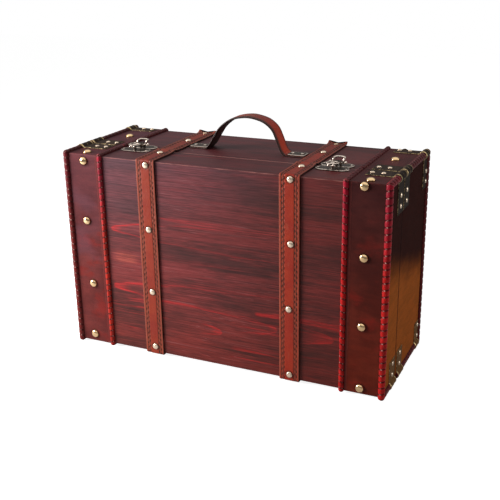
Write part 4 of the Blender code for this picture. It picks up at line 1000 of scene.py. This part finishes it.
latch = {"shift": 0.0003, "plateShift": -0.0037, "width": 0.0432, "depth": 0.0172, "thick": 0.0012, "setback": 0.001,
         # half of the plate's edge, from the seam outwards: shares of the half width, and of the depth
         "edge": ((0.8, 0.0), (0.95, 0.26), (1.0, 0.56), (0.92, 0.78), (0.76, 0.92), (0.62, 1.0)),
         "screw": (0.0018, 0.0008, 0.004),  # radius, height, how far in from the plate's end
         "pivotUp": 0.0072, "pin": 0.0098, "pinBall": 0.0018, "pinCore": 0.0011,
         "ear": 0.0025, "earApart": 0.0052, "earThick": 0.0018,
         "earFoot": (0.0033, 0.0021), "earHead": (0.0004, 0.0023),  # how far behind the seam, half the depth
         "hub": 0.0022, "neck": 0.0014, "sleeve": 0.0016,
         "ringShift": -0.0022, "ringUp": 0.0019, "ringHalf": 0.0086, "ringDepth": 0.007, "rim": 0.0022,
         "barThick": 0.0018, "reach": 0.0137, "knob": 0.0016, "knobX": 0.0029, "loopShift": 0.0008, "loopBack": 0.0018,
         "loopUp": 0.0044, "loopHalf": 0.0082, "loopDepth": 0.0072, "loopRim": 0.003, "loopThick": 0.0021,
         "loopPower": 0.66, "loopTilt": math.radians(8), "post": 0.00098, "stud": 0.0021, "studUp": 0.0083,
         "studHeadUp": 0.0014}
latchX = (straps["x"] + straps["width"] / 2 + cords["innerX"] - cords["width"] / 2) / 2


def latchPlate(centreX, edgeY, out, look):
    # A cast plate with a raised rim round a sunk field, and two slotted screws
    half, depth, thick = look["width"] / 2, look["depth"], look["thick"]
    right = np.array(look["edge"]) * [half, depth]
    outline = np.concatenate([right, right[::-1] * [-1, 1], right[:1]])
    line = (evened(outline, 97)[0][:-1] - [0, depth * 0.5]) * [1, out]
    low = woodTop + fitGap
    plate = stepped(line, (half, depth / 2), (centreX, edgeY + out * depth * 0.5, low),
                    ((0.0003, 0, 0.1), (0, 0.0002, 0.3), (0, thick - 0.0003, 0.75), (0.0004, thick, 0.95),
                     (0.0013, thick, 0.75), (0.0018, thick - 0.0003, 0.12), (0.003, thick - 0.0003, 0.3),
                     (0.006, thick - 0.0002, 0.42)))
    radius, height, inset = look["screw"]
    heads = [(centreX + w * (half - inset), edgeY + out * depth * 0.56, low + thick - 0.0001) for w in (-1, 1)]
    return [plate, domes(heads, [(0, 0, 1)] * 2, radius, height, 20, 6, 0.0003, 0.0003)]


def makeLatch(side, look):
    # Catch: a plate and a turned stud on the lid. Plate: two ears on the base. Hasp: a ring over the stud, a neck, a
    # pin with sleeves and balls, and a standing loop.
    x, y, z = sides[side] * latchX + look["shift"], seam, woodTop + look["pivotUp"]
    foot, plateX = woodTop + look["thick"], x + look["plateShift"]  # posts are sunk a little into the plates
    ringX, ringY, ringZ = x + look["ringShift"], seam - look["reach"], z + look["ringUp"]
    radii = np.array([1.35, 1.3, 1.05, 1, 1, 1.43, 1.43, 1.2, 0.7])[:, None] * look["stud"]
    tip, turn = look["studUp"], circle(24)
    heights = np.array([0, 0.0005, 0.001, 0.0016, tip - look["studHeadUp"] + 0.0003, tip - 0.0009, tip - 0.0003,
                        tip + 0.0001, tip + 0.0003])[:, None]
    rings = np.stack([radii * np.cos(turn), radii * np.sin(turn), heights + 0 * turn], -1)
    stud = tube(rings + np.array([ringX, ringY, foot]),
                lift=np.array([0.1, 0.3, 0.3, 0.4, 0.4, 0.8, 0.9, 1, 1])[:, None])
    makePiece(f"{side}LatchCatch", latchPlate(plateX, lidEdge - look["setback"], -1, look) + [stud], pewter, "lid",
              [f"{side}_latch_catch"], 45)
    ears, halfEar = [], look["earThick"] / 2
    (footY, footHalf), (headY, headHalf) = look["earFoot"], look["earHead"]
    corners = np.array([(-1, -1, 0), (1, -1, 0), (1, 1, 0), (-1, 1, 0)])
    for w in (-1, 1):
        earX = x + w * look["earApart"] / 2
        ears.append(rod((earX - halfEar, y, z), (earX + halfEar, y, z), look["ear"], 24, 1, 0.3))
        spots = np.linspace((earX, y + footY, foot), (earX, y + headY, z), 5)[:, None]
        wide = np.linspace((halfEar, footHalf, 0), (halfEar, headHalf, 0), 5)[:, None]
        ears.append(tube(spots + wide * corners, lift=0.45))
    makePiece(f"{side}LatchPlate", latchPlate(plateX, baseEdge + look["setback"], 1, look) + ears, pewter, "base",
              [f"{side}_latch_plate"], 45)
    pin, knob, sleeveStart = look["pin"], look["knob"], (look["earApart"] + look["earThick"]) / 2 + fitGap
    hasp = [ovalRing((ringX, ringY, ringZ), look["ringHalf"] - look["rim"] / 2, look["ringDepth"] - look["rim"] / 2,
                     look["rim"], look["barThick"]),
            rod((x, ringY + look["ringDepth"] - look["rim"] * 0.8, ringZ), (x, y + 0.0006, ringZ - 0.0003),
                look["neck"], 16, 0.62),
            rod((x - pin + 0.001, y, z), (x + pin - 0.001, y, z), look["pinCore"]),
            rod((x - look["neck"], y, z), (x + look["neck"], y, z), look["hub"], 20)]
    loopX, loopY, loopZ = x + look["loopShift"], seam + look["loopBack"], z + look["loopUp"]
    halfX, halfY = look["loopHalf"] - look["loopRim"] / 2, look["loopDepth"] - look["loopRim"] / 2
    start = -math.asin(min(1, (look["loopBack"] - 0.0002) / halfY) ** (1 / look["loopPower"]))
    hasp.append(ovalRing((loopX, loopY, loopZ), halfX, halfY, look["loopRim"], look["loopThick"], look["loopTilt"],
                         (start, math.pi - start), look["loopPower"]))
    for w in (-1, 1):
        postX = loopX + w * halfX * math.cos(start) ** look["loopPower"]
        hasp += [ball((ringX + w * look["knobX"], ringY - look["ringDepth"] + knob / 2,
                       ringZ - look["barThick"] / 2 - knob / 2), knob),
                 rod((x + w * sleeveStart, y, z), (x + w * pin, y, z), look["sleeve"]),
                 ball((x + w * pin, y, z), look["pinBall"]),
                 rod((postX, y, z - 0.0002), (postX, y, loopZ + 0.0003), look["post"])]
    makePiece(f"{side}LatchHasp", hasp, pewter, f"{side}_hasp", [f"{side}_latch_hasp"], 45)


for side in sides:
    makeLatch(side, latch)
print("latches made")

# Carrying handle
handle = {"y": 0.0103, "halfSpan": 0.056, "rise": 0.0469, "thickness": 0.0028, "foot": 0.001, "width": 0.0245,
          "footLength": 0.026, "plateLength": 0.024, "plateWidth": 0.018, "plateThick": 0.001,
          "screw": (0.0026, 0.0012), "screwShare": 0.28, "endLength": 0.001,
          # the arch's middle line: shares of the half span, and of the rise
          "curve": ((-0.98, 0.025), (-0.91, 0.115), (-0.79, 0.35), (-0.65, 0.605), (-0.455, 0.81), (-0.24, 0.94),
                    (0.07, 1.0), (0.325, 0.96), (0.525, 0.87), (0.695, 0.695), (0.795, 0.455), (0.88, 0.195),
                    (0.945, 0.055))}


def handleLine(look):
    # The middle line through the listed points as a smooth (Catmull-Rom) curve, between two flat feet
    flat, foot = fitGap + look["thickness"] / 2, look["halfSpan"] + look["footLength"]
    landing = foot - look["plateLength"]
    arch = np.array(look["curve"]) * [look["halfSpan"], look["rise"] - flat] + [0, flat]
    points = np.array([(-foot, flat), (-landing, flat), *arch, (landing, flat), (foot, flat)])
    before, start, end, after = (points[i:len(points) - 3 + i, None] for i in range(4))
    t = np.linspace(0, 1, 9)[:-1][None, :, None]
    spots = 0.5 * (2 * start + (end - before) * t + (2 * before - 5 * start + 4 * end - after) * t ** 2
                   + (3 * start - before - 3 * end + after) * t ** 3)
    line = np.concatenate([spots.reshape(-1, 2), points[-2:-1]])
    line[:, 1] = np.maximum(line[:, 1], flat)
    toLanding = (points[1] - points[0]) * np.linspace(0, 1, 12)[:-1, None]
    line = np.concatenate([points[0] + toLanding, line, (points[-1] - toLanding)[::-1]])
    under = ramp(np.abs(line[:, 0]), landing - 0.0015, 0.0015)
    thick = look["thickness"] + (look["foot"] - look["thickness"]) * under
    line[:, 1] += (fitGap + thick / 2 - flat) * (under > 0)
    return line, thick


def makeHandle(look):
    line, thick = handleLine(look)
    outer = look["halfSpan"] + look["footLength"]
    along = unit(np.gradient(line, axis=0))
    along[np.abs(line[:, 0]) > outer - look["plateLength"] - 0.0016] = (1, 0)
    normal = np.stack([-along[:, 1], along[:, 0]], 1)
    # a squared round section, flatter across than it is high
    turn = circle(40)
    share, up = rounded(np.cos(turn), 0.3), np.sin(turn)
    size = eased(lengths(line), look["endLength"], 0.6)
    n = rounded(up, 0.45) / 2 * thick[:, None] * size
    x, z = (line[:, i:i + 1] + normal[:, i:i + 1] * n for i in (0, 1))
    y = look["y"] + share * look["width"] / 2 * (0.98 + 0.02 * size)
    share = np.abs(share)
    marks = {"cutEdge": np.maximum(ramp(up, 0.55, -0.35), 0.9 * ramp(share, 0.77, 0.07)),
             "sewn": ramp(share, 0.54, 0.14) * (up > 0.3)}
    makePiece("handleStrap", [tube(np.stack([x, y, woodTop + z], -1), **marks)], litHandleTan, "base",
              ["handle_strap"], 50)
    low, thickness = woodTop + 2 * fitGap + look["foot"], look["plateThick"]
    half, t = np.array([look["plateLength"], look["plateWidth"]]) / 2, circle(64)
    outline = np.stack([rounded(np.cos(t), 0.22), rounded(np.sin(t), 0.22)], 1) * half
    radius, height = look["screw"]
    for side, sign in sides.items():
        middle = sign * (outer - look["plateLength"] / 2)
        plate = stepped(outline, half, (middle, look["y"], low),
                        ((0.0002, 0, 0.2), (0, 0.0002, 0.5), (0, thickness - 0.0003, 0.85), (0.0004, thickness, 0.95),
                         (0.0012, thickness, 0.7), (0.0016, thickness - 0.0002, 0.25),
                         (0.004, thickness - 0.0002, 0.5)))
        heads = [(middle + w * look["plateLength"] * look["screwShare"], look["y"], low + thickness - 0.0001)
                 for w in (-1, 1)]
        screws = domes(heads, [(0, 0, 1)] * 2, radius, height, 24, 7, 0.0003, 0.0004)
        makePiece(f"handle{side.title()}Plate", [plate, screws], pewter, "base", [f"handle_{side}_plate"], 45)


makeHandle(handle)
print("handle made")

# Floor, lights, world and camera
studio = {"floorSize": 7.0, "floorColour": (0.68, 0.68, 0.68), "floorGlow": 0.9, "ambient": 0.14, "mirrored": 0.05,
          "target": (-0.05, -0.08, 0.14), "key": ((-0.85, -0.5, 0.45), 0.45, 16.0),
          "fill": ((1.3, 0.3, 0.45), 0.6, 4.0)}  # lamps: place, size in metres, power in watts


def backdropSeen(tree, look, place=None):
    # 1 for what the camera sees. Mirrored and refracted rays see the backdrop too, fully overhead and fainter near the
    # floor, where a studio is darker.
    path = {socket.name: Value(socket) for socket in tree.nodes.new("ShaderNodeLightPath").outputs}
    share = look["mirrored"]
    if place:
        high = smooth(newNode(tree, "SeparateXYZ", {0: place})[2], 0.25, 0.8)
        share = high * (1 - share) + share
    return highest(path["Is Camera Ray"], highest(path["Is Glossy Ray"], path["Is Transmission Ray"]) * share)


def makeStudio(look):
    half = look["floorSize"] / 2
    mesh = bpy.data.meshes.new("floor")
    mesh.from_pydata([(-half, -half, 0), (half, -half, 0), (half, half, 0), (-half, half, 0)], [], [(0, 1, 2, 3)])
    floor = bpy.data.objects.new("floor", mesh)
    bpy.context.scene.collection.objects.link(floor)
    material, tree, _, _ = newMaterial("paleFloor")
    feed(material, Base_Color=look["floorColour"], Roughness=0.9, Specular_IOR_Level=0.0)
    glow = newNode(tree, "Emission", {"Color": (1, 1, 1), "Strength": backdropSeen(tree, look) * look["floorGlow"]})[0]
    shader = Value(tree.nodes["Principled BSDF"].outputs[0])
    put(tree.nodes["Material Output"].inputs["Surface"], newNode(tree, "AddShader", {0: shader, 1: glow})[0])
    mesh.materials.append(material)
    world = bpy.data.worlds.new("softWorld")
    bpy.context.scene.world = world
    world.use_nodes = True
    tree = world.node_tree
    seen = backdropSeen(tree, look, Value(tree.nodes.new("ShaderNodeTexCoord").outputs["Generated"]))
    put(tree.nodes["Background"].inputs["Color"], mixed(seen, (look["ambient"],) * 3, (1.0, 1.0, 1.0)))
    for name in ("key", "fill"):
        light = bpy.data.lights.new(name, "AREA")
        lamp = bpy.data.objects.new(name, light)
        lamp.location, light.size, light.energy = look[name]
        lamp.rotation_mode = "QUATERNION"
        lamp.rotation_quaternion = (Vector(look["target"]) - lamp.location).to_track_quat("-Z", "Y")
        bpy.context.scene.collection.objects.link(lamp)


# The photograph's view: place, way forward and way down, found from the box's corners
view = {"place": (0.4596, -0.9833, 0.5296), "forward": (-0.3951, 0.8536, -0.3396), "down": (0.1284, -0.3147, -0.9405),
        "lens": 61.16, "shift": 0.0013}


def makeCamera(look):
    data = bpy.data.cameras.new("camera")
    data.lens, data.sensor_width, data.shift_x = look["lens"], 36.0, look["shift"]
    data.clip_start, data.clip_end = 0.05, 30.0
    camera = bpy.data.objects.new("camera", data)
    forward, up = Vector(look["forward"]).normalized(), -Vector(look["down"])
    up = (up - forward * up.dot(forward)).normalized()
    turned = Matrix((forward.cross(up), up, -forward)).transposed().to_4x4()
    camera.matrix_world = Matrix.Translation(look["place"]) @ turned
    bpy.context.scene.collection.objects.link(camera)
    bpy.context.scene.camera = camera


makeStudio(studio)
makeCamera(view)
bpy.context.scene.view_settings.view_transform = "Standard"
print("studio and camera made")
